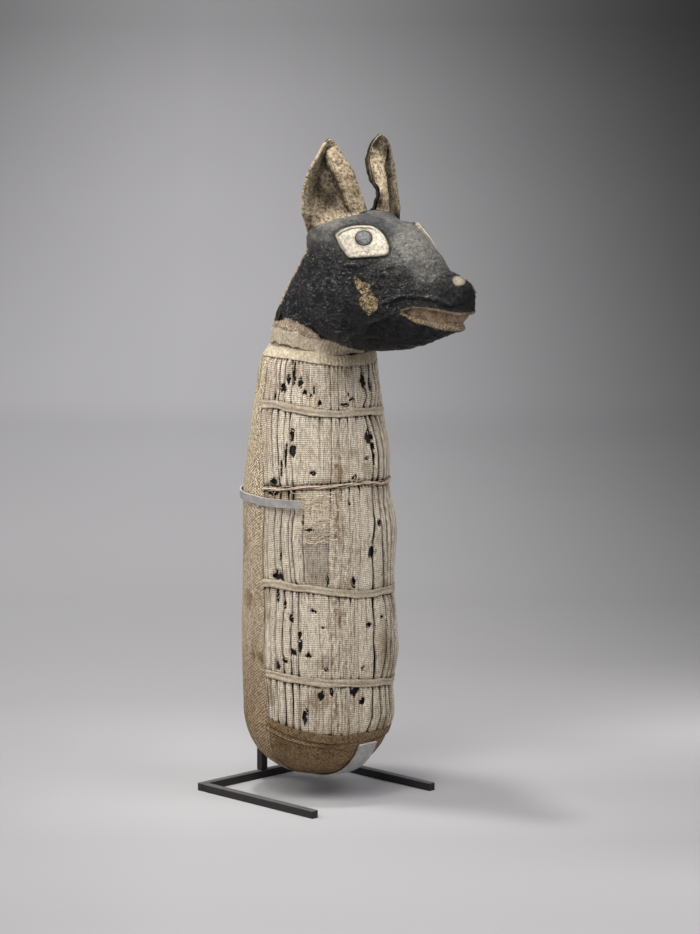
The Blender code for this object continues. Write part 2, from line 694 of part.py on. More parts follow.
def make_face():
    patch_bed = head_cutter("patch_bed", TOUCH_GAP)
    iris_bed = head_cutter("iris_bed", 2 * TOUCH_GAP + PATCH_THICKNESS)
    for side, word in ((-1, "right"), (1, "left")):
        turn = (Matrix.Rotation(-side * math.radians(EYE_TURN), 4, "Z")
                @ Matrix.Rotation(-side * math.radians(EYE_UPWARD), 4, "Y")
                @ Matrix.Rotation(math.radians(EYE_SLOPE), 4, "X"))
        eye = Vector((side * EYE_SIDE, head_y(EYE_ALONG), BODY_TOP + EYE_HEIGHT))
        prism = patch_prism(f"eye_outline_{word}", almond, EYE_DEPTH, turn, eye)
        make_patch(f"eye_patch_{word}", prism, patch_bed, TOUCH_GAP + PATCH_THICKNESS, EYE_LINEN)
        iris = eye + turn.to_3x3() @ Vector((0.0, -IRIS_FORWARD, IRIS_RAISE))
        prism = patch_prism(f"iris_outline_{word}", disc(IRIS_RADIUS), EYE_DEPTH, turn, iris)
        make_patch(f"iris_{word}", prism, iris_bed, 2 * (TOUCH_GAP + PATCH_THICKNESS), IRIS_PAINT)
        tilt = Matrix.Rotation(-side * math.radians(NOSTRIL_TILT), 4, "Y")
        nostril = Vector((side * NOSTRIL_SIDE, head_y(NOSTRIL_ALONG), BODY_TOP + NOSTRIL_HEIGHT))
        prism = patch_prism(f"nostril_outline_{word}", disc(NOSTRIL_RADIUS), NOSTRIL_DEPTH, tilt, nostril)
        make_patch(f"nostril_patch_{word}", prism, patch_bed, TOUCH_GAP + PATCH_THICKNESS, EYE_LINEN)


def make_ears():
    bed = head_cutter("ear_bed", TOUCH_GAP)
    for side, word in ((-1, "right"), (1, "left")):
        inner = Vector((side * EAR_INNER[0], head_y(EAR_INNER[1]), 0.0))
        outer = Vector((side * EAR_OUTER[0], head_y(EAR_OUTER[1]), 0.0))
        across = (outer - inner) / 2
        facing = Vector((side * -across.y, side * across.x, 0.0)).normalized()
        if facing.y > 0:
            facing = -facing
        base = (inner + outer) / 2 + Vector((0.0, 0.0, BODY_TOP + EAR_BASE_HEIGHT))
        tip = Vector((side * EAR_TIP[0], head_y(EAR_TIP[1]), BODY_TOP + EAR_TIP[2]))

        def leaf(sideways, upward, step):
            width = max(max(1 - upward ** EAR_TAPER, 0.0) ** 0.75, EAR_TIP_SHARE)
            point = base + (tip - base) * upward + across * sideways * width
            return point + facing * (EAR_CUP * sideways ** 2 * width + step)

        order = -side
        ear = wrapped_sheet(f"ear_{word}", lambda u, v: leaf(order * (2 * u - 1), v, 0.0), 8, 9,
                            EAR_THICKNESS, TAN_LINEN, offset=1.0)
        cut(ear, bed)
        flap = wrapped_sheet(f"ear_flap_{word}",
                             lambda u, v: leaf(order * (2 * u - 1) * FLAP_HALF_WIDTH - FLAP_MIDDLE,
                                               FLAP_SPAN[0] + (FLAP_SPAN[1] - FLAP_SPAN[0]) * v, FLAP_STEP),
                             4, 7, FLAP_THICKNESS, TAN_LINEN)
        cut(flap, bed)


make_base()
make_cradle()
make_retainers()
make_wrappings()
make_shroud()
make_base_cap()
make_strips()
make_ties()
make_neck_bands()
make_head()
make_face()
make_ears()
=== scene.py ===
"""Looks of the dog mummy and its display mount.

Metres, +Z up, the animal faces -Y. Angles round the bundle are in degrees from its front (-Y),
positive towards +X, the animal's left.
"""
import math

import bmesh
import bpy
import numpy as np
from mathutils import Matrix, Vector
from mathutils.bvhtree import BVHTree


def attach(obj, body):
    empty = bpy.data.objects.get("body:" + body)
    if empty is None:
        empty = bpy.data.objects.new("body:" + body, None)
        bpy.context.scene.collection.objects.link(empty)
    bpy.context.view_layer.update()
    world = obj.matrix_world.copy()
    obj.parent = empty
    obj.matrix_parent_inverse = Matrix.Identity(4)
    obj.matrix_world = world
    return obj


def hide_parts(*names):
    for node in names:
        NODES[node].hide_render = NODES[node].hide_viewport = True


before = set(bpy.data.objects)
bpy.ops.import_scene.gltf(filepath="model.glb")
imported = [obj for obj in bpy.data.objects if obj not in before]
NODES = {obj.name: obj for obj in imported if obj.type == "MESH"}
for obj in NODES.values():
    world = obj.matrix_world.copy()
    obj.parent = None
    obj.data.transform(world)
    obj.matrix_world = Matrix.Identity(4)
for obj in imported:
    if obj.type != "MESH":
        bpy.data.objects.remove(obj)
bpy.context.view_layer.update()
MM = 0.001

# Camera: direction, distance and aim point read from the photograph
CAMERA_AZIMUTH = -44.486
CAMERA_HEIGHT = 9.03
CAMERA_DISTANCE = 3.2209
FOCAL_PIXELS = 3981.2
IMAGE = (700, 934)
AIM_RIGHT = 0.027314
AIM_UP = 0.26143
AIM_Y = -0.0637
SENSOR = 36.0
PIXEL = CAMERA_DISTANCE / FOCAL_PIXELS  # metres that a pixel spans at the object

# The bundle, as in the frame
BAR = 0.00635
POST_CLEARANCE = 0.0022
BODY_BOTTOM = 0.0165
BODY_TOP = 0.364
BODY_RADIUS = 0.0613
BOTTOM_ROUND = 0.0585
BOTTOM_SQUARENESS = 2.25
BODY_PROFILE = [(0.0, 0.984), (0.12, 1.0), (0.40, 0.989), (0.60, 0.972), (0.70, 0.928),
                (0.765, 0.885), (0.834, 0.843), (0.90, 0.794), (0.965, 0.752), (1.0, 0.690)]
FRONT_SWELL = [(0.0, 0.0), (0.10, -0.0005), (0.155, 0.0005), (0.215, -0.0012), (0.30, 0.0026),
               (0.44, -0.0008), (0.58, 0.0019), (0.665, -0.0026), (0.76, 0.0), (0.86, -0.0012),
               (0.93, -0.0008), (1.0, 0.0)]
SWELL_CENTRE = 45.0
SWELL_EVEN_ANGLE = 20.0
SWELL_HALF_ANGLE = 60.0
SWELL_RIGHT_SHARE = 0.3
SWELL_RIGHT_EVEN = 50.0
SWELL_RIGHT_FADE = 42.0
PANEL_ANGLE = 91.5
NECK_LEAN = 0.556
NECK_INSET = 0.0046
NECK_INSET_ANGLE = -134.5
NECK_INSET_RISE = 0.001
NECK_INSET_HEIGHT = 0.0115
HEAD_LENGTH = 0.1655
HEAD_BACK_FORWARD = 0.002
HEAD_BACK_ROUNDNESS = 3.1
NOSE_BLUNTNESS = 5.0
HEAD_SQUARENESS = 2.8
SNOUT_SQUARENESS = 2.15
HEAD_PROFILE = [(0.0, 0.0930, 0.0210, 0.0445), (0.13, 0.1070, 0.0080, 0.0500),
                (0.31, 0.1105, 0.0050, 0.0505), (0.455, 0.1070, 0.0055, 0.0435),
                (0.574, 0.1000, 0.0065, 0.0335), (0.65, 0.0940, 0.0090, 0.0275),
                (0.716, 0.0860, 0.0120, 0.0235), (0.78, 0.0770, 0.0155, 0.0200),
                (0.83, 0.0715, 0.0180, 0.0177), (0.90, 0.0670, 0.0215, 0.0155),
                (0.96, 0.0665, 0.0260, 0.0145), (1.0, 0.0655, 0.0300, 0.0130)]

AXIS_Y = -(BAR / 2 + POST_CLEARANCE + BODY_RADIUS)
BODY_HEIGHT = BODY_TOP - BODY_BOTTOM
ROUND_TOP = BODY_BOTTOM + BOTTOM_ROUND
ROUND_RADIUS = BODY_RADIUS * BODY_PROFILE[0][1]
ROUND_ARC = math.pi / 4 * (ROUND_RADIUS + BOTTOM_ROUND)
WALL_HEIGHT = BODY_TOP - ROUND_TOP
NECK_RADIUS = BODY_RADIUS * BODY_PROFILE[-1][1]
HEAD_BACK_Y = AXIS_Y - HEAD_BACK_FORWARD


# Smooth noise that gives the same values on every run

def hashed(ix, iy, iz, seed):
    mask = np.int64(0xFFFFFFFF)
    mixed = (ix * 73856093 & mask) ^ (iy * 19349663 & mask) ^ (iz * 83492791 & mask)
    mixed = (mixed ^ np.int64(seed * 2654435761 & 0xFFFFFFFF)) & mask
    mixed = ((mixed ^ (mixed >> 15)) * 2246822519) & mask
    mixed = ((mixed ^ (mixed >> 13)) * 3266489917) & mask
    return ((mixed ^ (mixed >> 16)) & 0xFFFFFF) / float(0xFFFFFF)


def noise(x, y, z=0.0, seed=0):
    """Smooth noise from -1 to 1, one lump for each unit."""
    x, y, z = np.broadcast_arrays(*(np.asarray(value, float) for value in (x, y, z)))
    cells = [np.floor(value).astype(np.int64) for value in (x, y, z)]
    parts = [value - cell for value, cell in zip((x, y, z), cells)]
    fx, fy, fz = (part * part * (3 - 2 * part) for part in parts)
    total = 0.0
    for dx in (0, 1):
        for dy in (0, 1):
            for dz in (0, 1):
                weight = (fx if dx else 1 - fx) * (fy if dy else 1 - fy) * (fz if dz else 1 - fz)
                total = total + weight * hashed(cells[0] + dx, cells[1] + dy, cells[2] + dz, seed)
    return total * 2 - 1


def fractal(x, y, z=0.0, seed=0, octaves=3):
    """Noise with finer and finer lumps."""
    total, size = 0.0, 1.0
    for octave in range(octaves):
        step = 2.03 ** octave
        total = total + size * noise(np.asarray(x) * step, np.asarray(y) * step, np.asarray(z) * step,
                                     seed + octave)
        size *= 0.5
    return total / 1.75


def ease(value):
    """0 below 0, 1 above 1, smooth between."""
    value = np.clip(value, 0.0, 1.0)
    return value * value * (3 - 2 * value)


def bump(distance, width):
    """1 at distance 0, fading to both sides."""
    return np.exp(-(np.asarray(distance) / width) ** 2)


# The bundle's surface

def along(stations, place, column=1):
    """Value of a column of stations at places, on a smooth curve through them."""
    xs = np.array([row[0] for row in stations])
    ys = np.array([row[column] for row in stations])
    place = np.clip(np.asarray(place, float), xs[0], xs[-1])
    i = np.clip(np.searchsorted(xs, place, side="right") - 1, 0, len(xs) - 2)
    before, after = np.maximum(i - 1, 0), np.minimum(i + 2, len(xs) - 1)
    first = (ys[i + 1] - ys[before]) / (xs[i + 1] - xs[before])
    second = (ys[after] - ys[i]) / (xs[after] - xs[i])
    step = xs[i + 1] - xs[i]
    t = (place - xs[i]) / step
    return ((2 * t ** 3 - 3 * t ** 2 + 1) * ys[i] + (t ** 3 - 2 * t ** 2 + t) * step * first
            + (3 * t ** 2 - 2 * t ** 3) * ys[i + 1] + (t ** 3 - t ** 2) * step * second)


def wrap(angle):
    """The same angle from -180 to 180."""
    return (angle + 180) % 360 - 180


def arc_of(angle):
    """Distance round the bundle for an angle."""
    return np.radians(angle) * BODY_RADIUS


def girth_noise(arc, long, row, seed):
    """Noise round the bundle, with lumps of a length in millimetres. Each row has its own."""
    return noise(arc / (long * MM), row, 0.0, seed)


def cloth_noise(arc, z, wide, tall, seed, octaves=3):
    """Fractal noise on the cloth, with lumps of a width and a height in millimetres."""
    return fractal(arc / (wide * MM), z / (tall * MM), 0.0, seed, octaves)


def front_swell(angle, z):
    """How far the front bulges out at places round the bundle."""
    left = 1 - ease((np.abs(wrap(angle - SWELL_CENTRE)) - SWELL_EVEN_ANGLE) / SWELL_HALF_ANGLE)
    right = SWELL_RIGHT_SHARE * (1 - ease((np.abs(wrap(angle)) - SWELL_RIGHT_EVEN) / SWELL_RIGHT_FADE))
    return np.maximum(left, right) * along(FRONT_SWELL, (z - BODY_BOTTOM) / BODY_HEIGHT)


def neck_inset(angle, z):
    """How far the top of the bundle is drawn in at its back."""
    level = bump(z - BODY_TOP - NECK_INSET_RISE, NECK_INSET_HEIGHT)
    return NECK_INSET * level * np.maximum(np.cos(np.radians(angle - NECK_INSET_ANGLE)), 0.0)


def run_at(z):
    """The run along the bundle's side at a height: 0 at the top of its rounded bottom."""
    z = np.asarray(z, float)
    drop = np.clip((ROUND_TOP - z) / BOTTOM_ROUND, 0.0, 1.0)
    turn = np.arccos(drop ** (BOTTOM_SQUARENESS / 2))
    return np.where(z >= ROUND_TOP, z - ROUND_TOP, -ROUND_ARC * (1 - turn / (math.pi / 2)))


def on_body(angle, run, lift=0.0):
    """Points on the wrapped bundle, lifted off it by a distance."""
    angle, run, lift = np.broadcast_arrays(*(np.asarray(v, float) for v in (angle, run, lift)))
    turn = math.pi / 2 * (1 + np.clip(run, -ROUND_ARC, 0.0) / ROUND_ARC)
    power = 2 / BOTTOM_SQUARENESS
    bowl_radius = (ROUND_RADIUS + lift) * np.sin(turn) ** power
    bowl_z = ROUND_TOP - (BOTTOM_ROUND + lift) * np.maximum(np.cos(turn), 0.0) ** power
    wall_radius = BODY_RADIUS * along(BODY_PROFILE, run / WALL_HEIGHT) + lift
    radius = np.where(run >= 0, wall_radius, bowl_radius)
    z = np.where(run >= 0, ROUND_TOP + run, bowl_z)
    radius = radius + ease(radius / ROUND_RADIUS * 2 - 1) * front_swell(angle, z) - neck_inset(angle, z)
    theta = np.radians(angle)
    return np.stack([radius * np.sin(theta), AXIS_Y - radius * np.cos(theta), z], -1)


def neck_ring(angle, z, lift):
    """Points on the leaning neck, above the bundle's top."""
    theta = np.radians(angle)
    radius = NECK_RADIUS + lift - neck_inset(angle, z)
    y = AXIS_Y - NECK_LEAN * (z - BODY_TOP) - radius * np.cos(theta)
    return np.stack(np.broadcast_arrays(radius * np.sin(theta), y, z), -1)


def on_neck(angle, z, lift=0.0):
    """Points on the bundle below its top, and on the leaning neck above it."""
    angle, z, lift = np.broadcast_arrays(*(np.asarray(v, float) for v in (angle, z, lift)))
    low = on_body(angle, run_at(np.minimum(z, BODY_TOP)), lift)
    return np.where((z > BODY_TOP)[..., None], neck_ring(angle, z, lift), low)


def sagging(front, rise, angle):
    """Height of a line that is at one height in front and rises towards the back."""
    return front + rise * (1 - np.cos(np.radians(angle)))


def hem_line(angle):
    return line_height("hem_band", angle)


# Camera

def add_object(name, data):
    obj = bpy.data.objects.new(name, data)
    bpy.context.scene.collection.objects.link(obj)
    return obj


def camera_axes():
    azimuth, height = math.radians(CAMERA_AZIMUTH), math.radians(CAMERA_HEIGHT)
    back = np.array([math.sin(azimuth) * math.cos(height), -math.cos(azimuth) * math.cos(height),
                     math.sin(height)])
    right = np.array([math.cos(azimuth), math.sin(azimuth), 0.0])
    return right, np.cross(back, right), back


RIGHT, UP, BACK = camera_axes()
AIM = RIGHT * AIM_RIGHT + UP * AIM_UP + np.array([0.0, AIM_Y, 0.0])
EYE_POINT = AIM + BACK * CAMERA_DISTANCE


def make_camera():
    camera = add_object("camera", bpy.data.cameras.new("camera"))
    rows = [[RIGHT[k], UP[k], BACK[k], EYE_POINT[k]] for k in range(3)] + [[0, 0, 0, 1]]
    camera.matrix_world = Matrix(rows)
    camera.data.sensor_width = SENSOR
    camera.data.lens = FOCAL_PIXELS / max(IMAGE) * SENSOR
    camera.data.clip_end = 60.0
    bpy.context.scene.camera = camera


def pixel_ray(x, y):
    return RIGHT * (x - IMAGE[0] / 2) / FOCAL_PIXELS + UP * (IMAGE[1] / 2 - y) / FOCAL_PIXELS - BACK


def pixel_of(points):
    """Where points are seen in the photograph's frame, as an array of x, y."""
    away = np.asarray(points, float) - EYE_POINT
    depth = -(away @ BACK)
    return np.stack([IMAGE[0] / 2 + FOCAL_PIXELS * (away @ RIGHT) / depth,
                     IMAGE[1] / 2 - FOCAL_PIXELS * (away @ UP) / depth], -1)


def way_to_wall(start, ray, radius):
    """How far along a ray it meets a round upright wall about the origin, or passes it closest."""
    a = ray[0] ** 2 + ray[1] ** 2
    b = start[0] * ray[0] + start[1] * ray[1]
    c = start[0] ** 2 + start[1] ** 2 - radius ** 2
    return (-b - math.sqrt(max(b * b - a * c, 0.0))) / a


# The search for the bundle's radius at a pixel: its steps, and how much of the miss each takes up
SIGHT_TURNS = 9
SIGHT_STEP = 0.6


def seen_on_body(x, y):
    """Angle and height where the bundle is seen at a pixel of the photograph's frame."""
    ray = pixel_ray(x, y)
    start = EYE_POINT - np.array([0.0, AXIS_Y, 0.0])
    radius = BODY_RADIUS
    for _ in range(SIGHT_TURNS):
        point = start + ray * way_to_wall(start, ray, radius)
        angle, z = math.degrees(math.atan2(point[0], -point[1])), float(point[2])
        there = on_body(angle, run_at(z))
        radius += SIGHT_STEP * (math.hypot(there[0], there[1] - AXIS_Y) - radius)
    return angle, z


# Meshes

def mesh_object(name, points, quads, material, body="mummy", fields=None, smooth=True):
    """An object from an array of points and an array of four-cornered faces, without loose points."""
    points = np.asarray(points, float).reshape(-1, 3)
    quads = np.asarray(quads).reshape(-1, 4)
    used = np.unique(quads)
    place = np.full(len(points), -1)
    place[used] = np.arange(len(used))
    quads = place[quads]
    mesh = bpy.data.meshes.new(name)
    mesh.vertices.add(len(used))
    mesh.vertices.foreach_set("co", points[used].astype(np.float32).ravel())
    mesh.loops.add(quads.size)
    mesh.loops.foreach_set("vertex_index", quads.astype(np.int32).ravel())
    mesh.polygons.add(len(quads))
    mesh.polygons.foreach_set("loop_start", np.arange(0, quads.size, 4, dtype=np.int32))
    mesh.update(calc_edges=True)
    mesh.validate()
    for field, values in (fields or {}).items():
        values = np.asarray(values, float)
        if values.ndim and values.shape[-1] == 3 and values.size == 3 * len(points):
            data = mesh.attributes.new(field, "FLOAT_VECTOR", "POINT")
            data.data.foreach_set("vector", values.reshape(-1, 3)[used].astype(np.float32).ravel())
        else:
            data = mesh.attributes.new(field, "FLOAT", "POINT")
            data.data.foreach_set("value", values.reshape(-1)[used].astype(np.float32))
    if smooth:
        mesh.shade_smooth()
    mesh.materials.append(material)
    obj = add_object(name, mesh)
    if body:
        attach(obj, body)
    return obj


def cloth_object(name, points, quads, material, place, tone, stain):
    """A piece of woven cloth, with the fields that linen() reads."""
    fields = {"place": place, "tone": tone, "stain": stain}
    return mesh_object(name, points, quads, material, fields=fields)


def full_turn(count):
    """Evenly spaced angles round a section, in radians."""
    return np.linspace(0, 2 * np.pi, count, endpoint=False)[None, :]


def squared_off(wave, power):
    """A sine or cosine whose section has flatter sides."""
    return np.sign(wave) * np.abs(wave) ** power


def grid_quads(rows, columns, keep=None, closed_rows=False, closed_columns=False):
    index = np.arange(rows * columns).reshape(rows, columns)
    if closed_columns:
        index = np.concatenate([index, index[:, :1]], 1)
    if closed_rows:
        index = np.concatenate([index, index[:1]], 0)
    quads = np.stack([index[:-1, :-1], index[:-1, 1:], index[1:, 1:], index[1:, :-1]], -1)
    if keep is not None:
        quads = quads[keep]
    return quads.reshape(-1, 4)


def stand_for(node):
    """The piece is drawn instead of a solid of the frame, which is hidden."""
    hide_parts(node)


def thicken(obj, thickness, offset=-1.0):
    modifier = obj.modifiers.new("thickness", "SOLIDIFY")
    modifier.thickness = thickness
    modifier.offset = offset
    return obj


# Materials

class Material:
    """A material's nodes. Its textures lie on the object's own coordinates, or on a field of the mesh."""

    def __init__(self, name, place=None):
        self.material = bpy.data.materials.new(name)
        self.material.use_nodes = True
        self.tree = self.material.node_tree
        self.tree.nodes.clear()
        self.shader = self.tree.nodes.new("ShaderNodeBsdfPrincipled")
        output = self.tree.nodes.new("ShaderNodeOutputMaterial")
        self.tree.links.new(self.shader.outputs[0], output.inputs[0])
        if place:
            self.place = self.field(place, "Vector")
        else:
            self.place = self.add("ShaderNodeTexCoord").outputs["Object"]

    def put(self, node, key, value):
        """Sets a node's input, or links it where the value is another node's output."""
        if isinstance(value, bpy.types.NodeSocket):
            self.tree.links.new(value, node.inputs[key])
        else:
            node.inputs[key].default_value = value

    def add(self, kind, values=None, **settings):
        node = self.tree.nodes.new(kind)
        for key, value in settings.items():
            setattr(node, key, value)
        for key, value in (values or {}).items():
            self.put(node, key, value)
        return node

    def calc(self, operation, *values, clamp=False):
        values = dict(enumerate(values))
        return self.add("ShaderNodeMath", values, operation=operation, use_clamp=clamp).outputs[0]

    def times(self, first, second, plus=None, clamp=False):
        """first times second, plus a third value where there is one."""
        if plus is None:
            return self.calc("MULTIPLY", first, second, clamp=clamp)
        return self.calc("MULTIPLY_ADD", first, second, plus, clamp=clamp)

    def mix(self, share, first, second, blend="MIX"):
        node = self.add("ShaderNodeMix", data_type="RGBA", blend_type=blend, clamp_factor=True)
        for number, value in ((0, share), (6, first), (7, second)):
            self.put(node, number, (*value, 1.0) if isinstance(value, tuple) else value)
        return node.outputs[2]

    def ramp(self, value, low, high):
        """0 below low, 1 above high, smooth between."""
        values = {"Value": value, "From Min": low, "From Max": high}
        return self.add("ShaderNodeMapRange", values, interpolation_type="SMOOTHSTEP").outputs[0]

    def field(self, name, output="Fac"):
        return self.add("ShaderNodeAttribute", attribute_name=name).outputs[output]

    def grey(self, name):
        """A field of the mesh as a grey colour."""
        return self.add("ShaderNodeCombineXYZ", {k: self.field(name) for k in range(3)}).outputs[0]

    def noise(self, scale, detail=2.0, roughness=0.5, stretch=None, distortion=0.0):
        vector = self.place
        if stretch:
            vector = self.add("ShaderNodeVectorMath", {0: vector, 1: stretch}, operation="MULTIPLY")
            vector = vector.outputs[0]
        values = {"Vector": vector, "Scale": scale, "Detail": detail, "Roughness": roughness,
                  "Distortion": distortion}
        return self.add("ShaderNodeTexNoise", values).outputs["Fac"]

    def upward(self):
        """How far the surface faces up."""
        facing = self.add("ShaderNodeNewGeometry").outputs["Normal"]
        return self.add("ShaderNodeSeparateXYZ", {0: facing}).outputs[2]

    def finish(self, colour, roughness, relief=None, distance=0.0, strength=1.0, metallic=0.0,
               specular=0.5):
        values = {"Base Color": colour, "Roughness": roughness, "Metallic": metallic,
                  "Specular IOR Level": specular}
        if relief is not None:
            height = {"Height": relief, "Strength": strength, "Distance": distance}
            values["Normal"] = self.add("ShaderNodeBump", height).outputs[0]
        for key, value in values.items():
            self.put(self.shader, key, value)
        return self.material


def scaled(colour, share):
    return tuple(share * part for part in colour)


def linen(name, light, dark, stain, thread=1.5, rib=None, depth=0.35, weave_share=0.5, grain=1.1, grit=0.35,
          spread=0.22):
    """Woven cloth. Fields on the mesh: place (across, along, distance to the edge, in mm), tone, stain."""
    m = Material(name, "place")
    axes = m.add("ShaderNodeSeparateXYZ", {0: m.place}).outputs
    jitter = m.noise(0.16)
    x = m.calc("ADD", axes[0], m.times(jitter, 2.2))
    y = m.calc("ADD", axes[1], m.times(jitter, 1.6))
    warp = m.calc("SINE", m.times(x, 2 * math.pi / thread))
    weft = m.calc("SINE", m.times(y, 2 * math.pi / thread))
    weave = m.times(m.times(warp, weft), 0.5, 0.5)
    fibres = m.noise(1.0, 3.0, 0.65, stretch=(1.1, 0.28, 1.0))
    cross = m.noise(1.0, 3.0, 0.65, stretch=(0.25, 1.3, 1.0))
    blotch = m.noise(0.055, 3.0, 0.6)
    height = m.times(weave, weave_share, m.times(fibres, 0.5))
    height = m.times(cross, 0.5, height)
    if rib:
        ribs = m.times(m.calc("SINE", m.times(y, 2 * math.pi / rib)), 0.5, 0.5)
        height = m.times(ribs, 0.42, height)
    coarse = m.noise(0.48, 2.0, 0.6, stretch=(2.2, 0.5, 1.0) if rib else None)
    mean = 0.5 * weave_share + 0.5 + 0.5 * grain + (0.21 if rib else 0.0)
    shade = m.ramp(m.times(coarse, grain, height), mean - spread, mean + spread)
    stained = m.mix(shade, scaled(stain, 0.55), scaled(stain, 1.5))
    grime = m.calc("ADD", m.field("stain"), m.times(blotch, 0.5, -0.25))
    grime = m.times(m.calc("SUBTRACT", fibres, 0.5), 0.7, grime)
    grime = m.calc("MAXIMUM", m.calc("MINIMUM", grime, 1.0), 0.0)
    colour = m.mix(grime, m.mix(shade, dark, light), stained)
    specks = m.ramp(m.noise(0.75, 3.0, 0.7), 0.62, 0.74)
    colour = m.mix(m.times(specks, grit), colour, scaled(stain, 0.25))
    if rib:
        furrows = m.ramp(m.noise(1.0, 2.0, 0.6, stretch=(1.1, 0.03, 1.0)), 0.57, 0.63)
        colour = m.mix(m.times(furrows, 0.62), colour, scaled(stain, 0.35))
    colour = m.mix(1.0, colour, m.grey("tone"), "MULTIPLY")
    return m.finish(colour, 0.92, height, depth * MM, specular=0.15)


def metal_bar():
    m = Material("black_steel_bar")
    fine = m.noise(900.0, 3.0, 0.6)
    patches = m.ramp(m.noise(60.0, 3.0, 0.6), 0.3, 0.75)
    colour = m.mix(patches, (0.013, 0.0105, 0.0105), (0.018, 0.0145, 0.0145))
    # Painted highlight: faces turned up are lighter than the sides, as if lit from above
    lit_top = m.mix(patches, (0.125, 0.117, 0.113), (0.165, 0.156, 0.150))
    colour = m.mix(m.ramp(m.upward(), 0.4, 0.9), colour, lit_top)
    return m.finish(colour, m.times(fine, 0.25, 0.32), fine, 0.1 * MM, 0.25, metallic=0.25)


def metal_strip():
    m = Material("grey_metal_strip")
    brushed = m.noise(1.0, 3.0, 0.6, stretch=(260.0, 260.0, 2600.0))
    scratches = m.noise(1.0, 2.0, 0.5, stretch=(900.0, 500.0, 90.0), distortion=0.6)
    colour = m.mix(m.ramp(m.noise(120.0, 3.0, 0.6), 0.3, 0.7), (0.39, 0.375, 0.365), (0.53, 0.515, 0.50))
    colour = m.mix(m.ramp(scratches, 0.66, 0.72), colour, (0.85, 0.85, 0.84))
    # Painted highlight: faces turned up are near white, as if lit from above
    colour = m.mix(m.ramp(m.upward(), 0.4, 0.8), colour, (0.95, 0.95, 0.94))
    return m.finish(colour, m.times(brushed, 0.25, 0.30), brushed, 0.1 * MM, 0.2, metallic=0.55)


def painted_head():
    """Black paint on linen: cracked and fibrous on the cheeks, smoother and greyer above, the grey partly a
    painted highlight on faces turned up.
    """
    m = Material("black_painted_linen")
    smooth, painted_shade, lip = m.field("smooth_top_and_sheen"), m.field("painted_shade"), m.field("lip")
    wrinkle = m.noise(260.0, 4.0, 0.65, distortion=0.8)
    fine = m.noise(1100.0, 3.0, 0.65)
    broad = m.noise(42.0, 3.0, 0.6)
    strokes = m.noise(1.0, 5.0, 0.7, stretch=(230.0, 230.0, 480.0), distortion=1.6)
    weave = m.noise(1.0, 2.0, 0.5, stretch=(700.0, 700.0, 1900.0))
    cells = m.add("ShaderNodeTexVoronoi", {"Vector": m.place, "Scale": 330.0}, feature="DISTANCE_TO_EDGE")
    crack = m.ramp(cells.outputs["Distance"], 0.0, 0.07)
    mottle = m.calc("ADD", wrinkle, fine)
    bare_noise = m.times(mottle, 5.0, -5.0)
    cheek = m.ramp(m.calc("ADD", m.field("cheek_loss"), m.times(bare_noise, 0.9)), -0.25, 0.25)
    collar = m.ramp(m.calc("ADD", m.field("paint_edge"), bare_noise), 0.3, -0.3)
    paint = m.mix(m.ramp(broad, 0.3, 0.7), (0.0035, 0.0035, 0.0037), (0.012, 0.0115, 0.0115))
    # Light flecks of worn paint, more of them on the crests: partly a painted highlight on the ridges
    flecks_and_crest_highlight = m.times(m.ramp(strokes, 0.53, 0.66), m.times(m.field("crest_highlight"), 0.6, 0.30), clamp=True)
    flecks_and_crest_highlight = m.times(flecks_and_crest_highlight, m.calc("SUBTRACT", 1.0, painted_shade), clamp=True)
    paint = m.mix(flecks_and_crest_highlight, paint, (0.21, 0.195, 0.195))
    # The smooth grey top is partly a painted highlight: its field is higher on faces turned up
    grey = m.mix(m.ramp(wrinkle, 0.25, 0.8), (0.100, 0.097, 0.086), (0.30, 0.285, 0.25))
    grey = m.mix(m.ramp(broad, 0.56, 0.36), grey, (0.085, 0.084, 0.084))
    paint = m.mix(m.times(smooth, m.times(strokes, 0.8, 0.6), clamp=True), paint, grey)
    # Painted shade darkens the paint under the jaw, at the nose, round the eye and in the folds
    paint = m.mix(m.times(painted_shade, 0.8), paint, (0.0025, 0.0025, 0.0022))
    rubbed = m.ramp(m.times(fine, 0.5, wrinkle), 0.86, 1.0)
    rubbed = m.times(rubbed, m.times(painted_shade, -0.55, 0.6), clamp=True)
    paint = m.mix(rubbed, paint, (0.20, 0.175, 0.155))
    paint = m.mix(m.times(m.calc("SUBTRACT", 1.0, crack), 0.55), paint, (0.004, 0.004, 0.004))
    threads = m.ramp(m.times(weave, 0.5, fine), 0.55, 0.95)
    cloth = m.mix(threads, (0.27, 0.19, 0.115), (0.72, 0.60, 0.45))
    cheek_cloth = m.mix(m.ramp(mottle, 0.88, 1.15), (0.022, 0.013, 0.008), (0.66, 0.49, 0.28))
    lip_cloth = m.mix(m.ramp(fine, 0.35, 0.65), (0.10, 0.062, 0.035), (0.46, 0.36, 0.235))
    colour = m.mix(lip, m.mix(cheek, m.mix(collar, paint, cloth), cheek_cloth), lip_cloth)
    bare = m.calc("MAXIMUM", m.calc("MAXIMUM", cheek, collar), lip)
    roughness = m.times(bare, 0.35, m.times(fine, 0.2, 0.42))
    height = m.times(crack, 0.5, m.times(wrinkle, 0.8))
    height = m.times(height, m.times(m.calc("SUBTRACT", 1.0, smooth), 0.8, 0.25))
    for part, share in ((strokes, 0.4), (weave, 0.25), (fine, 0.25)):
        height = m.times(part, share, height)
    return m.finish(colour, roughness, height, 1.7 * MM, specular=0.3)


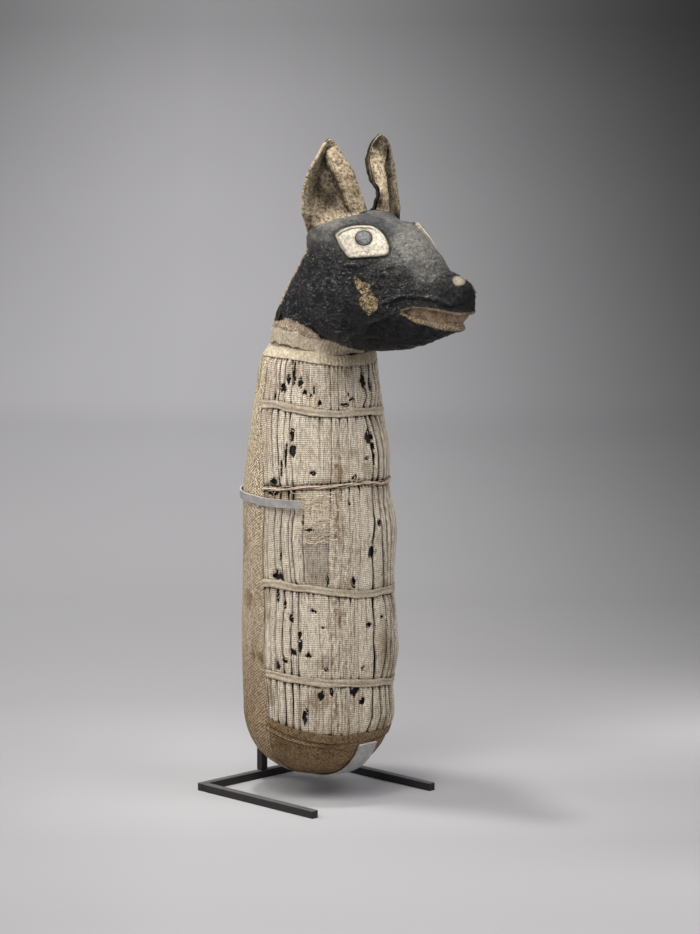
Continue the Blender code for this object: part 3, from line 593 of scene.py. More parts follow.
def dark_cloth():
    m = Material("resin_soaked_linen")
    folds = m.noise(1.0, 4.0, 0.6, stretch=(300.0, 300.0, 80.0))
    fine = m.noise(1500.0, 2.0, 0.6)
    colour = m.mix(m.ramp(folds, 0.35, 0.75), (0.006, 0.0045, 0.0035), (0.030, 0.019, 0.012))
    return m.finish(colour, 0.8, m.times(fine, 0.3, folds), 0.8 * MM, 0.9)


def dry_material(name, low, high, stretch):
    """Bone, reed and the like: two colours in drawn-out streaks."""
    m = Material(name)
    grain = m.noise(1.0, 4.0, 0.6, stretch=stretch)
    return m.finish(m.mix(m.ramp(grain, 0.3, 0.7), low, high), 0.8, grain, 0.5 * MM, 0.6)


def iris_paint():
    """A dark grey disc with a black ring, crazed all over. Field: ring, 0 in the middle, 1 at the rim."""
    m = Material("iris_grey_paint")
    mottle = m.noise(420.0, 3.0, 0.6, distortion=1.0)
    colour = m.mix(m.ramp(mottle, 0.3, 0.7), (0.045, 0.047, 0.047), (0.17, 0.175, 0.17))
    colour = m.mix(m.ramp(m.field("ring"), 0.76, 0.92), colour, (0.012, 0.011, 0.011))
    return m.finish(colour, 0.5, mottle, 0.5 * MM, 0.6)


def mouth_cloth():
    """Ochre and brown cloth in the mouth."""
    m = Material("mouth_linen")
    fine = m.noise(900.0, 3.0, 0.65)
    colour = m.mix(m.ramp(m.noise(160.0, 3.0, 0.6), 0.3, 0.7), (0.11, 0.062, 0.036), (0.29, 0.205, 0.13))
    colour = m.mix(m.ramp(fine, 0.45, 0.75), colour, (0.42, 0.33, 0.22))
    return m.finish(colour, 0.9, fine, 0.5 * MM, 0.8)


CREAM = linen("cream_pleated_linen", (0.95, 0.865, 0.72), (0.38, 0.295, 0.205), (0.24, 0.16, 0.085),
              rib=1.5, depth=0.6, grain=0.8, spread=0.24)
TIE_CLOTH = linen("tie_linen", (0.76, 0.665, 0.53), (0.33, 0.255, 0.17), (0.25, 0.165, 0.09),
                  thread=1.2, grain=0.6)
CORD_CLOTH = linen("cord_linen", (0.76, 0.63, 0.50), (0.36, 0.26, 0.18), (0.22, 0.13, 0.07),
                   thread=1.1, grain=0.6)
TAN = linen("tan_shroud_linen", (0.84, 0.71, 0.515), (0.17, 0.12, 0.07), (0.17, 0.10, 0.048),
            thread=2.3, depth=0.75, weave_share=0.62, grain=1.3, spread=0.16)
NECK_CLOTH = linen("neck_linen", (0.84, 0.74, 0.57), (0.40, 0.31, 0.20), (0.22, 0.14, 0.065),
                   thread=1.6, depth=0.5, weave_share=0.3, grain=0.8)
BROWN = linen("brown_base_linen", (0.360, 0.246, 0.134), (0.082, 0.051, 0.027), (0.075, 0.042, 0.018),
              thread=2.1, depth=0.5)
EAR_CLOTH = linen("ear_linen", (0.64, 0.53, 0.375), (0.15, 0.105, 0.06), (0.12, 0.068, 0.032),
                  thread=1.5, weave_share=0.25, depth=0.45, grain=1.0, grit=0.45)
EYE_CLOTH = linen("eye_linen", (0.76, 0.70, 0.585), (0.40, 0.345, 0.26), (0.24, 0.18, 0.11),
                  thread=1.2, grain=0.9, weave_share=0.3, grit=0.4)
BAR_METAL = metal_bar()
STRIP_METAL = metal_strip()
HEAD_PAINT = painted_head()
DARK = dark_cloth()
BONE = dry_material("wrapped_bone", (0.20, 0.14, 0.08), (0.42, 0.32, 0.20), (300.0, 300.0, 120.0))
REED = dry_material("palm_rib_grain", (0.13, 0.085, 0.045), (0.33, 0.23, 0.12), (900.0, 900.0, 40.0))
IRIS = iris_paint()
MOUTH = mouth_cloth()


# Lines round the bundle, by the pixels where each is seen from the right end to the left

TIE_SIGHTS = {
    "tie_band_1": [(263, 403.8), (276.3, 404.8), (290.3, 407.6), (303, 410.8), (319.8, 413.7), (333.8, 414),
                   (347.8, 413.2), (361.9, 411.5), (380.5, 409.9)],
    "tie_cord_2": [(263.7, 488), (290.3, 489), (308.6, 487.3), (336.6, 485.9), (364.7, 482.8), (387, 481.4)],
    "tie_band_3": [(263.7, 583.1), (276.3, 584.1), (291.7, 586.7), (308.6, 589), (328.2, 592), (347.8, 594.1),
                   (364.7, 593.7), (381.5, 591.6), (391.5, 589.2)],
    "tie_band_4": [(265.8, 672.2), (276.3, 675.3), (291.7, 679), (308.6, 682), (328.2, 683.2), (347.8, 682.7),
                   (364.7, 682.5), (378.7, 681.8), (391, 680.7)],
    "hem_band": [(269, 721.5), (284, 729.4), (297.5, 734.1), (313, 737.4), (330, 739.7), (346, 739.5),
                 (363.4, 736.3), (374.5, 734.4), (383, 732.3)],
    "collar": [(269, 356), (280, 357), (292, 359.5), (309, 361.5), (325.5, 364), (336, 366)],
    "neck_line": [(272, 341), (282, 343), (290, 345), (301, 349), (316, 353), (330, 355)]}


def sighted_line(sights):
    return np.array(sorted(seen_on_body(x, y) for x, y in sights))


ROUTES = {name: sighted_line(sights) for name, sights in TIE_SIGHTS.items()}


def line_height(name, angle):
    """Height of a line at angles round the bundle. The collar's lines are alike on both sides."""
    route = ROUTES[name]
    angle = np.asarray(angle, float)
    if name in ("collar", "neck_line"):
        angle = -np.abs(wrap(angle))
    return np.interp(angle, route[:, 0], route[:, 1])


TIES = ("tie_band_1", "tie_cord_2", "tie_band_3", "tie_band_4", "hem_band")


def pinch(angle, z, above, below):
    """1 at a tie's height, fading above and below it over two lengths."""
    total = np.zeros(np.broadcast(angle, z).shape)
    for name in TIES:
        away = z - line_height(name, angle)
        total = np.maximum(total, np.where(away > 0, bump(away, above), bump(away, below)))
    return total


# Pleated strips

NARROW_STRIPS = 5
MIDDLE_STRIPS = 8
WIDE_STRIP_START = 66.5
WIDE_STRIP_END = 36.0
STAINED_STRIP_END = 28.5

# Holes in the linen front, by the pixel where each is seen: across, down, half width, half height
HOLES = [(294.2, 373.4, 2.3, 8.0), (288.8, 379.7, 2.5, 5.0), (283.0, 387.7, 4.6, 3.6),
         (300.8, 382.6, 3.3, 4.0), (304.9, 392.9, 2.8, 2.3), (314.0, 391.2, 1.0, 3.0),
         (311.2, 395.8, 1.8, 1.8), (320.0, 403.4, 1.7, 3.0), (275.4, 395.2, 1.4, 4.0),
         (362.3, 380.8, 3.0, 8.0), (369.7, 384.3, 2.0, 7.0), (352.0, 399.2, 4.0, 1.5),
         (348.5, 394.6, 0.9, 3.0), (345.0, 405.0, 4.0, 1.6), (292.2, 435.4, 3.2, 5.5),
         (292.2, 450.9, 3.0, 6.0), (285.7, 456.6, 1.3, 9.0), (281.3, 469.2, 1.3, 7.5),
         (273.3, 481.9, 4.3, 4.6), (312.5, 473.3, 3.3, 2.2), (368.6, 436.0, 3.3, 7.0),
         (373.5, 452.0, 1.3, 12.0), (367.4, 458.3, 2.0, 1.7), (355.1, 477.9, 2.7, 2.4),
         (273.3, 492.6, 4.0, 2.2), (349.1, 503.0, 1.2, 4.0), (302.9, 523.4, 1.0, 1.3),
         (308.9, 530.2, 3.2, 1.4), (277.9, 575.3, 4.0, 5.0), (280.2, 556.3, 1.1, 3.0),
         (372.0, 551.2, 2.5, 7.0), (379.3, 522.5, 2.0, 3.3), (327.8, 582.2, 1.3, 6.0),
         (353.1, 583.3, 2.0, 5.0), (313.5, 611.1, 3.4, 2.0), (322.4, 627.9, 2.0, 1.0),
         (369.1, 625.8, 2.3, 2.6), (382.3, 616.6, 1.4, 1.8), (285.3, 605.1, 1.2, 4.6),
         (292.2, 617.8, 1.9, 4.6), (299.9, 634.0, 1.6, 4.0), (299.9, 646.0, 2.2, 6.5),
         (294.0, 652.2, 2.6, 3.8), (307.7, 655.6, 3.4, 2.2), (277.9, 594.8, 1.5, 6.0),
         (284.8, 660.7, 2.1, 3.0), (278.5, 667.5, 2.0, 4.5), (326.1, 669.3, 2.3, 2.1),
         (363.4, 668.9, 1.7, 2.5), (321.7, 696.2, 2.8, 4.0), (354.2, 691.1, 4.0, 3.8),
         (362.3, 702.0, 2.6, 3.8), (305.1, 715.2, 2.4, 7.0), (331.3, 692.8, 1.6, 3.6)]


def hole_places():
    """Angle, height, half width and half height in metres on the cloth of each hole."""
    places = []
    for x, y, wide, tall in HOLES:
        angle, z = seen_on_body(x, y)
        slant = max(math.cos(math.radians(angle - CAMERA_AZIMUTH)), 0.35)
        places.append((angle, z, wide * PIXEL / slant, tall * PIXEL))
    return places


HOLE_PLACES = hole_places()


def hole_depth(angle, z):
    """Below 1 inside a hole, with ragged edges."""
    arc = arc_of(angle)
    rag = 0.85 * cloth_noise(arc, z, 1.9, 3.0, 31, 3)
    least = np.full(np.broadcast(angle, z).shape, 99.0)
    for hole_angle, hole_z, wide, tall in HOLE_PLACES:
        away = np.hypot(arc_of(angle - hole_angle) / wide, (z - hole_z) / tall)
        least = np.minimum(least, away + rag)
    return least


EDGE_SIGHTS = [
    [(269.3, 357), (266.8, 370), (265.2, 382), (263.8, 397), (261, 415), (261, 443), (263, 467),
     (264.3, 513), (262.4, 541), (262.9, 578), (264.7, 622), (263.8, 650), (264.7, 668), (267.4, 690),
     (268.5, 717), (270.0, 735), (271.5, 747)],
    [(273, 357), (271.5, 380), (270, 397), (266.6, 415), (266.3, 443), (267.5, 470), (268.9, 513),
     (267, 550), (268, 580), (270.3, 600), (269.8, 622), (270.3, 659), (272.4, 710)],
    [(277.5, 357), (276, 380), (274.5, 397), (271.4, 415), (271.4, 443), (272.5, 470), (275.4, 513),
     (273.5, 532), (274.4, 546), (276.5, 590), (274.9, 640), (275.8, 664), (278.1, 710)],
    [(282, 358), (279.5, 380), (278.5, 397), (277.7, 415), (276.7, 433), (278, 460), (281.8, 513),
     (280.4, 532), (281, 560), (285, 600), (282.3, 627), (281.8, 650), (283.7, 661), (285.8, 710)],
    [(287, 359), (284.5, 380), (283.5, 397), (285.5, 415), (283.7, 433), (283.7, 445), (285.5, 460),
     (290.6, 513), (288.8, 523), (288.3, 546), (290, 570), (292.5, 591), (292.5, 612), (290.6, 631),
     (291, 650), (293.7, 710)],
    [(293, 360), (292.5, 380), (291, 397), (290.2, 415), (289.2, 429), (289.5, 450), (292, 470),
     (294.3, 513), (292.5, 525), (291.5, 541), (292.9, 555), (295, 580), (298.5, 591), (298, 631),
     (299.9, 710)],
    [(330.7, 380), (331.8, 450), (328.5, 545), (328.3, 570), (327.2, 586), (329, 600), (330, 625),
     (331.8, 650), (331.8, 710)],
    [(338.2, 380), (339.9, 450), (343.3, 540), (339.5, 600), (339.2, 659), (341, 685), (342.2, 710)],
    [(345.6, 380), (348.5, 450), (350.2, 540), (350.5, 610), (351.2, 673), (349.6, 710)],
    [(354, 380), (358.2, 450), (361.7, 540), (357.7, 603), (358.6, 645), (359, 710)],
    [(361, 362), (362.3, 380), (366, 391), (367, 397), (364.5, 405), (366, 417), (369.7, 432),
     (371.6, 443), (373.4, 452), (374.3, 463), (373.4, 479), (373.4, 495), (375.3, 523), (374.3, 537),
     (372.5, 551), (373.9, 569), (373.4, 597), (374.8, 622), (374.3, 640), (375.3, 654), (373.4, 690),
     (372.3, 718), (367.8, 730)],
    [(368.8, 368), (370, 380), (372, 391), (372, 399), (370.2, 405), (369.7, 417), (372.9, 427),
     (376.2, 439), (379, 454), (379, 467), (378, 480), (379, 495), (380.8, 513), (381.7, 523),
     (382.2, 541), (384, 560), (385, 583), (384.5, 597), (387, 610), (387.6, 626), (386.4, 650),
     (381.9, 677), (381.2, 712), (376.7, 728)],
    [(372.5, 369), (376.2, 382), (377.1, 391), (375.3, 399), (373, 405), (374.3, 418), (379, 427),
     (381.7, 439), (383.6, 454), (383.6, 480), (384, 495), (385.4, 523), (385.9, 541), (387.3, 560),
     (387.6, 583), (389, 597), (391.5, 610), (392, 626), (390.8, 645), (387.3, 676), (386.2, 712),
     (381.2, 729)],
    [(375.3, 372), (378.6, 382), (379.3, 391), (377.1, 404), (378, 418), (383, 432), (384.8, 443),
     (386.4, 460), (386.4, 480), (386.8, 495), (388.6, 523), (389.6, 550), (390.4, 578), (391.6, 597),
     (394, 610), (394.8, 626), (393.6, 645), (390.3, 676), (389.3, 712), (384.5, 729)]]
SIGHTED = [np.array(sorted(tuple(reversed(seen_on_body(x, y))) for x, y in row)) for row in EDGE_SIGHTS]

# Creases inside the strips by pixels along each: depth from 0 to 1, then the places
CREASES = [(1.0, [(303.1, 509), (303.1, 525), (302.2, 541), (303.6, 560), (304, 583)]), (0.7,
                                                                                         [(308.7, 588),
                                                                                          (309, 601)]),
           (0.6, [(313.7, 590), (314, 602)]), (0.5, [(304, 588), (304.5, 600)]), (0.45, [(318.8, 612),
                                                                                         (319.7, 640),
                                                                                         (321.6, 654),
                                                                                         (323.5, 676)]),
           (0.28, [(300.5, 412), (301, 480)]), (0.28, [(309.6, 412), (310, 480)]), (0.4, [(319.8, 412),
                                                                                          (320.5, 482)]),
           (0.35, [(299, 357), (299, 385)]), (0.35, [(304, 357), (304, 380)]), (0.35, [(309, 358),
                                                                                       (309, 385)]),
           (0.35, [(314.5, 359), (314.5, 378)]), (0.35, [(320, 360), (320, 390)]), (0.35, [(325.5, 361),
                                                                                           (325.5, 385)]),
           (0.5, [(308, 690), (308.5, 733)]), (0.35, [(315.5, 690), (316, 735)]), (0.5, [(323, 688),
                                                                                         (323.5, 736)]),
           (0.3, [(313, 560), (312, 586)]), (0.6, [(353.1, 530), (352.1, 556)]), (0.5, [(366, 598),
                                                                                        (367.4, 650)]),
           (0.35, [(364, 425), (364.5, 480)]), (0.3, [(358.5, 505), (360.5, 583)]), (0.35, [(367.5, 500),
                                                                                            (368.5, 540)]),
           (0.4, [(336, 600), (335.5, 672)]), (0.5, [(346, 640), (347, 675)]), (0.3, [(308, 605),
                                                                                      (308.5, 670)]),
           (0.4, [(354.5, 600), (354.5, 672)]), (0.4, [(347.7, 690), (347.7, 734)]), (0.3, [(353.5, 690),
                                                                                            (354, 733)])]
CREASE_LINES = [(depth, np.array(sorted(tuple(reversed(seen_on_body(x, y))) for x, y in row)))
                for depth, row in CREASES]


def strip_edges():
    narrow = [PANEL_ANGLE - (PANEL_ANGLE - WIDE_STRIP_START) * k / NARROW_STRIPS
              for k in range(NARROW_STRIPS + 1)]
    right = [-edge for edge in narrow] + [-WIDE_STRIP_END, -STAINED_STRIP_END]
    middle = [-STAINED_STRIP_END + 2 * STAINED_STRIP_END * k / MIDDLE_STRIPS
              for k in range(1, MIDDLE_STRIPS)]
    return right + middle + [-edge for edge in reversed(right)]


EDGES = strip_edges()
# Share of their waves that the last edges keep: they are seen almost from the side
EDGE_SWAYS = {11: 0.8, 12: 0.65, 13: 0.5}
UNSEEN_EDGES = 3
UNSEEN_FADE = 0.3
UNSEEN_STEP = 5.5


def edge_angle(number, z):
    """Angle of an edge between strips at heights: read from the photograph where it shows."""
    z = np.asarray(z, float)
    if number < len(SIGHTED):
        line = SIGHTED[number]
        middle = line[:, 1].mean()
        sway = (np.interp(z, line[:, 0], line[:, 1]) - middle) * EDGE_SWAYS.get(number, 1.0)
        return middle + sway + 0.22 * noise(z / 0.006, number * 5.1, 0.0, 6)
    if number < len(SIGHTED) + UNSEEN_EDGES:
        beyond = number - len(SIGHTED) + 1
        middle = SIGHTED[-1][:, 1].mean()
        sway = edge_angle(len(SIGHTED) - 1, z) - middle
        return middle + sway * (1 - UNSEEN_FADE * beyond) + UNSEEN_STEP * beyond
    if number == len(EDGES) - 1:
        return np.full(z.shape, EDGES[number])
    wide = 0.9 * noise(z / 0.055, number * 3.7, 0.0, 5)
    return EDGES[number] + wide + 0.4 * noise(z / 0.016, number * 5.1, 0.0, 6)


# How deep the groove at each edge is, from the animal's right
EDGE_DEPTHS = [1.0, 0.5, 0.6, 0.7, 0.75, 0.7, 0.3, 0.15, 0.2, 0.25, 1.2, 1.5, 1.5, 1.5, 1.4, 1.2, 1.0, 0.8]
PLAIN_EDGE_DEPTH = 0.6
STRIP_STEP = 0.0005
STRIP_ROWS = 560
STRIP_TOP = 0.3625
STRIP_THICKNESS = 0.00035
DEEPEST = -0.0021


def edge_depth(number):
    return EDGE_DEPTHS[number] if number < len(EDGE_DEPTHS) else PLAIN_EDGE_DEPTH


def edge_gap(number, z):
    """Half the gap between strips, in metres: it opens under and over the ties and in torn places."""
    angle, depth = EDGES[number], edge_depth(number)
    total = np.full(np.shape(z), (0.42 if depth > 0.8 else 0.14 * depth) * MM)
    for k, name in enumerate(TIES):
        away = z - line_height(name, angle)
        chance = float(noise(number * 1.7 + 0.5, k * 2.3 + 0.5, 0.0, 8)) * 0.5 + 0.5
        near = np.where(away > 0, bump(away, 4 * MM), bump(away, 7 * MM))
        total = total + (0.25 + 0.85 * chance) * MM * near
    opened = np.maximum(noise(z / 0.028, number * 7.3, 0.0, 9) - 0.2, 0)
    return total + 0.8 * MM * min(depth, 1) * opened * (0 < number < len(EDGES) - 1)


def crease_depth(angle, z):
    """How deep the creases inside the strips are at places, from 0 to 1, and how strong the painted shade
    along their lines is.
    """
    deep = np.zeros(np.broadcast(angle, z).shape)
    line = np.zeros(deep.shape)
    for depth, places in CREASE_LINES:
        centre = np.interp(z, places[:, 0], places[:, 1])
        away = arc_of(angle - centre)
        inside = np.minimum(z - places[0, 0], places[-1, 0] - z)
        level = depth * ease(inside / (3 * MM) + 0.4)
        deep = np.maximum(deep, level * bump(away, 0.8 * MM))
        line = np.maximum(line, level * bump(away, 0.42 * MM))
    return deep, line


def pleat_tops(angle, z):
    """Wedges between the rounded tops of the pleats, just below each tie: sunk into the cloth and darkened
    there as painted shade.
    """
    total = np.zeros(np.broadcast(angle, z).shape)
    for k, name in enumerate(("tie_band_1", "tie_cord_2", "tie_band_3", "tie_band_4", "collar")):
        half = 1.6 if name in ("tie_cord_2", "collar") else 3.2
        below = line_height(name, angle) - half * MM - z
        wave = arc_of(angle) / (4.6 * MM) + 0.6 * noise(angle / 7, k * 3.3, 0.0, 15)
        wedge = np.abs(np.sin(math.pi * wave)) ** 4
        long = (2.6 + 3.4 * noise(angle / 5.5, k * 5.1, 0.0, 16)) * MM
        total = np.maximum(total, wedge * ease(1 - below / np.maximum(long, 0.7 * MM)) * (below > -4 * MM))
    return total


def front_stain(angle, z):
    """How brown the linen front is: a stained streak, the darker foot, blotches, and painted shade next to
    the ties.
    """
    arc = arc_of(angle)
    streaks = cloth_noise(arc, z, 1.6, 30, 41, 3)
    streaks = 0.6 * streaks + 0.8 * cloth_noise(arc, z, 1.5, 3.2, 42, 3)
    middle = -30.5 + 2.5 * noise(z / 0.05, 0.5, 0.0, 4)
    upper = ease((0.295 - z) / 0.02) * 0.35 + 0.65
    streak = 0.55 * bump(wrap(angle - middle), 6.0) * np.clip(0.35 + 1.4 * streaks, 0, 1.4) * upper
    second = 0.6 * bump(wrap(angle + 21), 5.0) * np.clip(0.25 + 1.3 * streaks, 0, 1)
    second = second * ease((0.24 - z) / 0.03)
    foot = 0.40 * ease((0.10 - z) / 0.05)
    blotch = 0.5 * ease(cloth_noise(arc, z, 15, 22, 43, 4) * 2.0 - 0.2)
    patch = 0.75 * bump(wrap(angle - 13), 11) * bump(z - 0.126, 0.020)
    dim = 0.35 * bump(wrap(angle + 42), 7) * bump(z - 0.187, 0.012)
    left = 0.35 * ease((-angle - 84) / 6)
    torn = 0.6 * bump(z - line_height("tie_cord_2", angle) + 0.006, 0.004) * ease((-angle - 56) / 8)
    # The pinch term is painted shade next to the ties
    return np.clip(streak + second + foot + blotch + patch + dim + left + torn + 0.18 * streaks
                   + 0.35 * pinch(angle, z, 2.0 * MM, 2.5 * MM), 0.0, 1.0)


GREY_PATCH = [(304, 531), (330, 527), (328.5, 587), (304.5, 587)]


def grey_patch(angle, z):
    """1 inside the worn grey patch of the wide strip."""
    corners = np.array([seen_on_body(x, y) for x, y in GREY_PATCH])
    low, high = corners[2:, 1].min(), corners[:2, 1].max()
    left, right = corners[[0, 3], 0].mean(), corners[[1, 2], 0].mean()
    rag = 1.5 * noise(angle / 2.5, z / 0.004, 0.0, 17)
    across, upright = np.minimum(angle - left, right - angle), np.minimum(z - low, high - z) / 0.0016
    return ease(np.minimum(across + rag, upright + rag) / 2.0 + 0.5)


def make_strips():
    for number in range(len(EDGES) - 1):
        node = f"pleat_strip_{number + 1:02d}"
        low = float(hem_line(EDGES[number])) - 1.5 * MM
        z = np.linspace(low, STRIP_TOP, STRIP_ROWS + 1)[:, None]
        first, last = edge_angle(number, z), edge_angle(number + 1, z)
        across = max(int(arc_of(np.max(last - first)) / STRIP_STEP), 8)
        share = np.linspace(0, 1, across + 1)[None, :]
        middle = (EDGES[number] + EDGES[number + 1]) / 2
        z = low + (line_height("collar", middle) + 1.0 * MM - low) * (z - low) / (STRIP_TOP - low)
        first, last = edge_angle(number, z), edge_angle(number + 1, z)
        radius = BODY_RADIUS * along(BODY_PROFILE, (z - ROUND_TOP) / WALL_HEIGHT)
        if number == 0:
            first = first - 1.6
        else:
            first = first + np.degrees(edge_gap(number, z) / radius)
        last = last - np.degrees(edge_gap(number + 1, z) / radius)
        angle = first + (last - first) * share
        width = np.radians(last - first) * radius
        arc = np.radians(angle - middle) * radius
        edge = np.minimum(share, 1 - share) * width
        groove = np.where(share < 0.5, edge_depth(number), edge_depth(number + 1))
        lift = -0.35 * MM - 1.15 * MM * bump(edge, 0.9 * MM) * groove
        arch = np.clip(4.5 * MM / width, 0.1, 1.0)
        lift = lift + 0.45 * MM * arch * np.sin(np.pi * share)
        lean = 0.55 * MM * float(noise(number * 2.1, 3.3, 0.0, 12))
        lift = lift + lean * (share - 0.5) * 2 * arch
        pinched = pinch(angle, z, 3.0 * MM, 3.5 * MM)
        lift = lift + 0.55 * MM - 1.5 * MM * pinched
        crease, dark_line = crease_depth(angle, z)
        tops = pleat_tops(angle, z)
        fine = cloth_noise(arc_of(angle), z, 2.2, 45, 21, 2)
        lift = lift + 0.26 * MM * fine - 1.2 * MM * crease - 0.9 * MM * tops
        lift = lift + 0.55 * MM * cloth_noise(arc_of(angle), z, 9, 16, 22, 2)
        lift = np.maximum(lift, DEEPEST)
        holes = hole_depth(angle, z)
        lift = lift - 0.6 * MM * bump(np.maximum(holes - 1, 0), 0.55)
        points = on_neck(angle, z, lift)
        centre = (holes[:-1, :-1] + holes[1:, :-1] + holes[:-1, 1:] + holes[1:, 1:]) / 4
        quads = grid_quads(STRIP_ROWS + 1, across + 1, keep=centre > 1.0)
        # Painted light and shade in the tone: strips on the animal's left are lighter where light falls, and
        # the cloth is darker at the grooves between strips, by the ties, along the crease lines, in the
        # wedges under the ties and round the holes
        tone = 1.0 + 0.07 * float(noise(number * 1.9 + 0.5, 7.5, 0.0, 3)) + 0.13 * (EDGES[number] > 20)
        grit = np.maximum(cloth_noise(arc_of(angle), z, 1.5, 2.4, 18, 2) - 0.35, 0)
        tone = tone - 0.3 * grey_patch(angle, z) - 0.8 * grit - 0.08 * fine
        tone = tone - np.minimum(0.58 * groove, 0.8) * bump(edge, 0.55 * MM * np.maximum(groove, 0.8))
        tone = tone - 0.3 * pinched - 0.8 * dark_line - 0.7 * tops
        if number == 0:
            tone = tone - 0.75 * bump(np.radians(angle - edge_angle(0, z) - 0.9) * radius, 0.6 * MM)
        tone = tone - 0.4 * bump(np.maximum(holes - 1, 0), 0.25)
        place = np.stack([arc / MM, np.broadcast_to(z, arc.shape) / MM, edge / MM], -1)
        strip = cloth_object(f"linen_{node}", points, quads, CREAM, place, np.maximum(tone, 0.08),
                             front_stain(angle, z))
        thicken(strip, STRIP_THICKNESS)
        stand_for(node)


# Ties, cord, hem and neck bands

def band_mesh(name, angles, middle, half_width, half_thick, lift, material, surface, waves, seed, stain,
              closed=False, tone=1.0, valley=0.0):
    """A flattened folded strip laid round the bundle. middle(angle) is its height, surface(angle, z, lift)
    puts it on the bundle. valley is the depth of the line between its two folds."""
    count = 26
    turn = full_turn(count)
    angle = np.asarray(angles)[:, None]
    arc = arc_of(angle)
    wander = waves * 0.45 * MM * girth_noise(arc, 13, seed * 3.1, 51)
    swell = 1 + 0.13 * waves * girth_noise(arc, 8, seed * 2.2, 52)
    across, upward = squared_off(np.cos(turn), 0.75), squared_off(np.sin(turn), 0.6)
    z = middle(angle) + wander + half_width * swell * across
    line = 0.45 * girth_noise(arc, 21, seed * 1.7, 56)
    trough = bump(across - line, 0.22) * (upward > 0)
    second = bump(across - line - 0.55, 0.13) * (upward > 0)
    second = second * ease(girth_noise(arc, 15, seed * 4.7, 57) * 3)
    fold = 0.35 * half_thick * noise(across * 2.4 + 0.3, arc / (11 * MM), seed * 1.3, 53) * (upward > 0)
    uneven = 0.30 * MM * waves * noise(arc / (6 * MM), 0.5, seed * 1.0, 54)
    top = lift + half_thick * (1 + upward) + fold + uneven
    top = top - valley * (trough + 0.6 * second)
    points = surface(np.broadcast_to(angle, z.shape), z, top)
    place = np.stack(np.broadcast_arrays(half_width * across / MM, arc / MM, np.abs(across) * 0 + 5), -1)
    # Painted shade along the band's edges and in the line between its folds
    dark = 0.35 * bump(1 - np.abs(across), 0.10) + 420 * valley * (trough + 0.6 * second)
    shade = np.maximum(tone * (1 - dark), 0.06) * np.ones_like(z)
    stains = stain + 0.25 * fractal(arc / (9 * MM), across * 0.7, seed * 1.0, 55, 2) * np.ones_like(z)
    quads = grid_quads(len(angles), count, closed_rows=closed, closed_columns=True)
    if not closed:
        first = np.array([[k, count - 1 - k, count - 2 - k, k + 1] for k in range(count // 2 - 1)])
        last = (len(angles) - 1) * count + first[:, ::-1]
        quads = np.concatenate([quads, first, last])
    return cloth_object(name, points, quads[:, ::-1], material, place, shade, stains)


def body_surface(angle, z, lift):
    return on_body(angle, run_at(z), lift)


BAND_STEPS = 420


def make_ties():
    for number, node in enumerate(("tie_band_1", "tie_band_3", "tie_band_4")):
        angles = np.linspace(ROUTES[node][0, 0] + 0.3, PANEL_ANGLE, BAND_STEPS)
        tie = band_mesh(f"linen_{node}", angles, lambda a, n=node: line_height(n, a), 3.15 * MM, 0.72 * MM,
                        -0.35 * MM, TIE_CLOTH, body_surface, waves=1.4, seed=number + 1, stain=0.12,
                        valley=0.7 * MM)
        stand_for(node)
    angles = np.linspace(ROUTES["hem_band"][0, 0] - 0.5, PANEL_ANGLE, BAND_STEPS)
    hem = band_mesh("linen_hem_band", angles, hem_line, 3.5 * MM, 0.5 * MM, -0.3 * MM, BROWN, body_surface,
                    waves=0.8, seed=6, stain=0.15, valley=0.1 * MM)
    stand_for("hem_band")


# The cord's strands: half thickness and how far each wanders, in millimetres
STRANDS = [(0.60, 1.1), (0.52, 1.2), (0.34, 1.9), (0.28, 1.6), (0.22, 2.4)]


def make_cord_tie():
    """Loose thin strands laid side by side, crossing now and then."""
    count, ring = 520, 7
    angle = np.linspace(ROUTES["tie_cord_2"][0, 0] + 0.3, PANEL_ANGLE - 1, count)[:, None]
    arc = arc_of(angle)
    turn = full_turn(ring)
    middle = line_height("tie_cord_2", angle) + 0.5 * MM * girth_noise(arc, 21, 1.1, 63)
    quads, points, tones = [], [], []
    for strand, (size, spread) in enumerate(STRANDS):
        phase = arc / (15 * MM) * math.pi + strand * 2.2 + 1.3 * girth_noise(arc, 17, strand * 1.7, 64)
        apart = spread * MM * (0.75 + 0.5 * girth_noise(arc, 24, strand * 4.4, 61))
        thick = size * MM * (1 + 0.22 * girth_noise(arc, 4, strand * 3.3, 62))
        z = middle + apart * np.sin(phase) + thick * np.cos(turn)
        lift = -0.35 * MM + thick + 0.4 * MM * (1 + np.cos(phase)) + thick * np.sin(turn)
        points.append(on_body(np.broadcast_to(angle, z.shape), run_at(z), lift).reshape(-1, 3))
        faces = grid_quads(count, ring, closed_columns=True)[:, ::-1]
        caps = np.array([[0, ring - 1, ring - 2, 1], [1, ring - 2, ring - 3, 2]])
        faces = np.concatenate([faces, caps[:, ::-1], (count - 1) * ring + caps]) + strand * count * ring
        quads.append(faces)
        tones.append(np.full(count * ring, 1.25 - 0.1 * strand))
    points, quads = np.concatenate(points), np.concatenate(quads)
    strands = len(tones)
    around, forward = np.tile(turn[0], count * strands), np.tile(np.repeat(arc[:, 0], ring) / MM, strands)
    place = np.stack([around, forward, np.full(len(points), 5.0)], -1)
    cord = cloth_object("linen_tie_cord_2", points, quads, CORD_CLOTH, place, np.concatenate(tones),
                        np.full(len(points), 0.12))
    stand_for("tie_cord_2")


# The neck bands from the lowest up: half width, half thickness and lift, in millimetres
NECK_BANDS = [(4.3, 0.55, 0.25), (5.9, 0.45, 0.45), (3.4, 0.40, 0.30)]


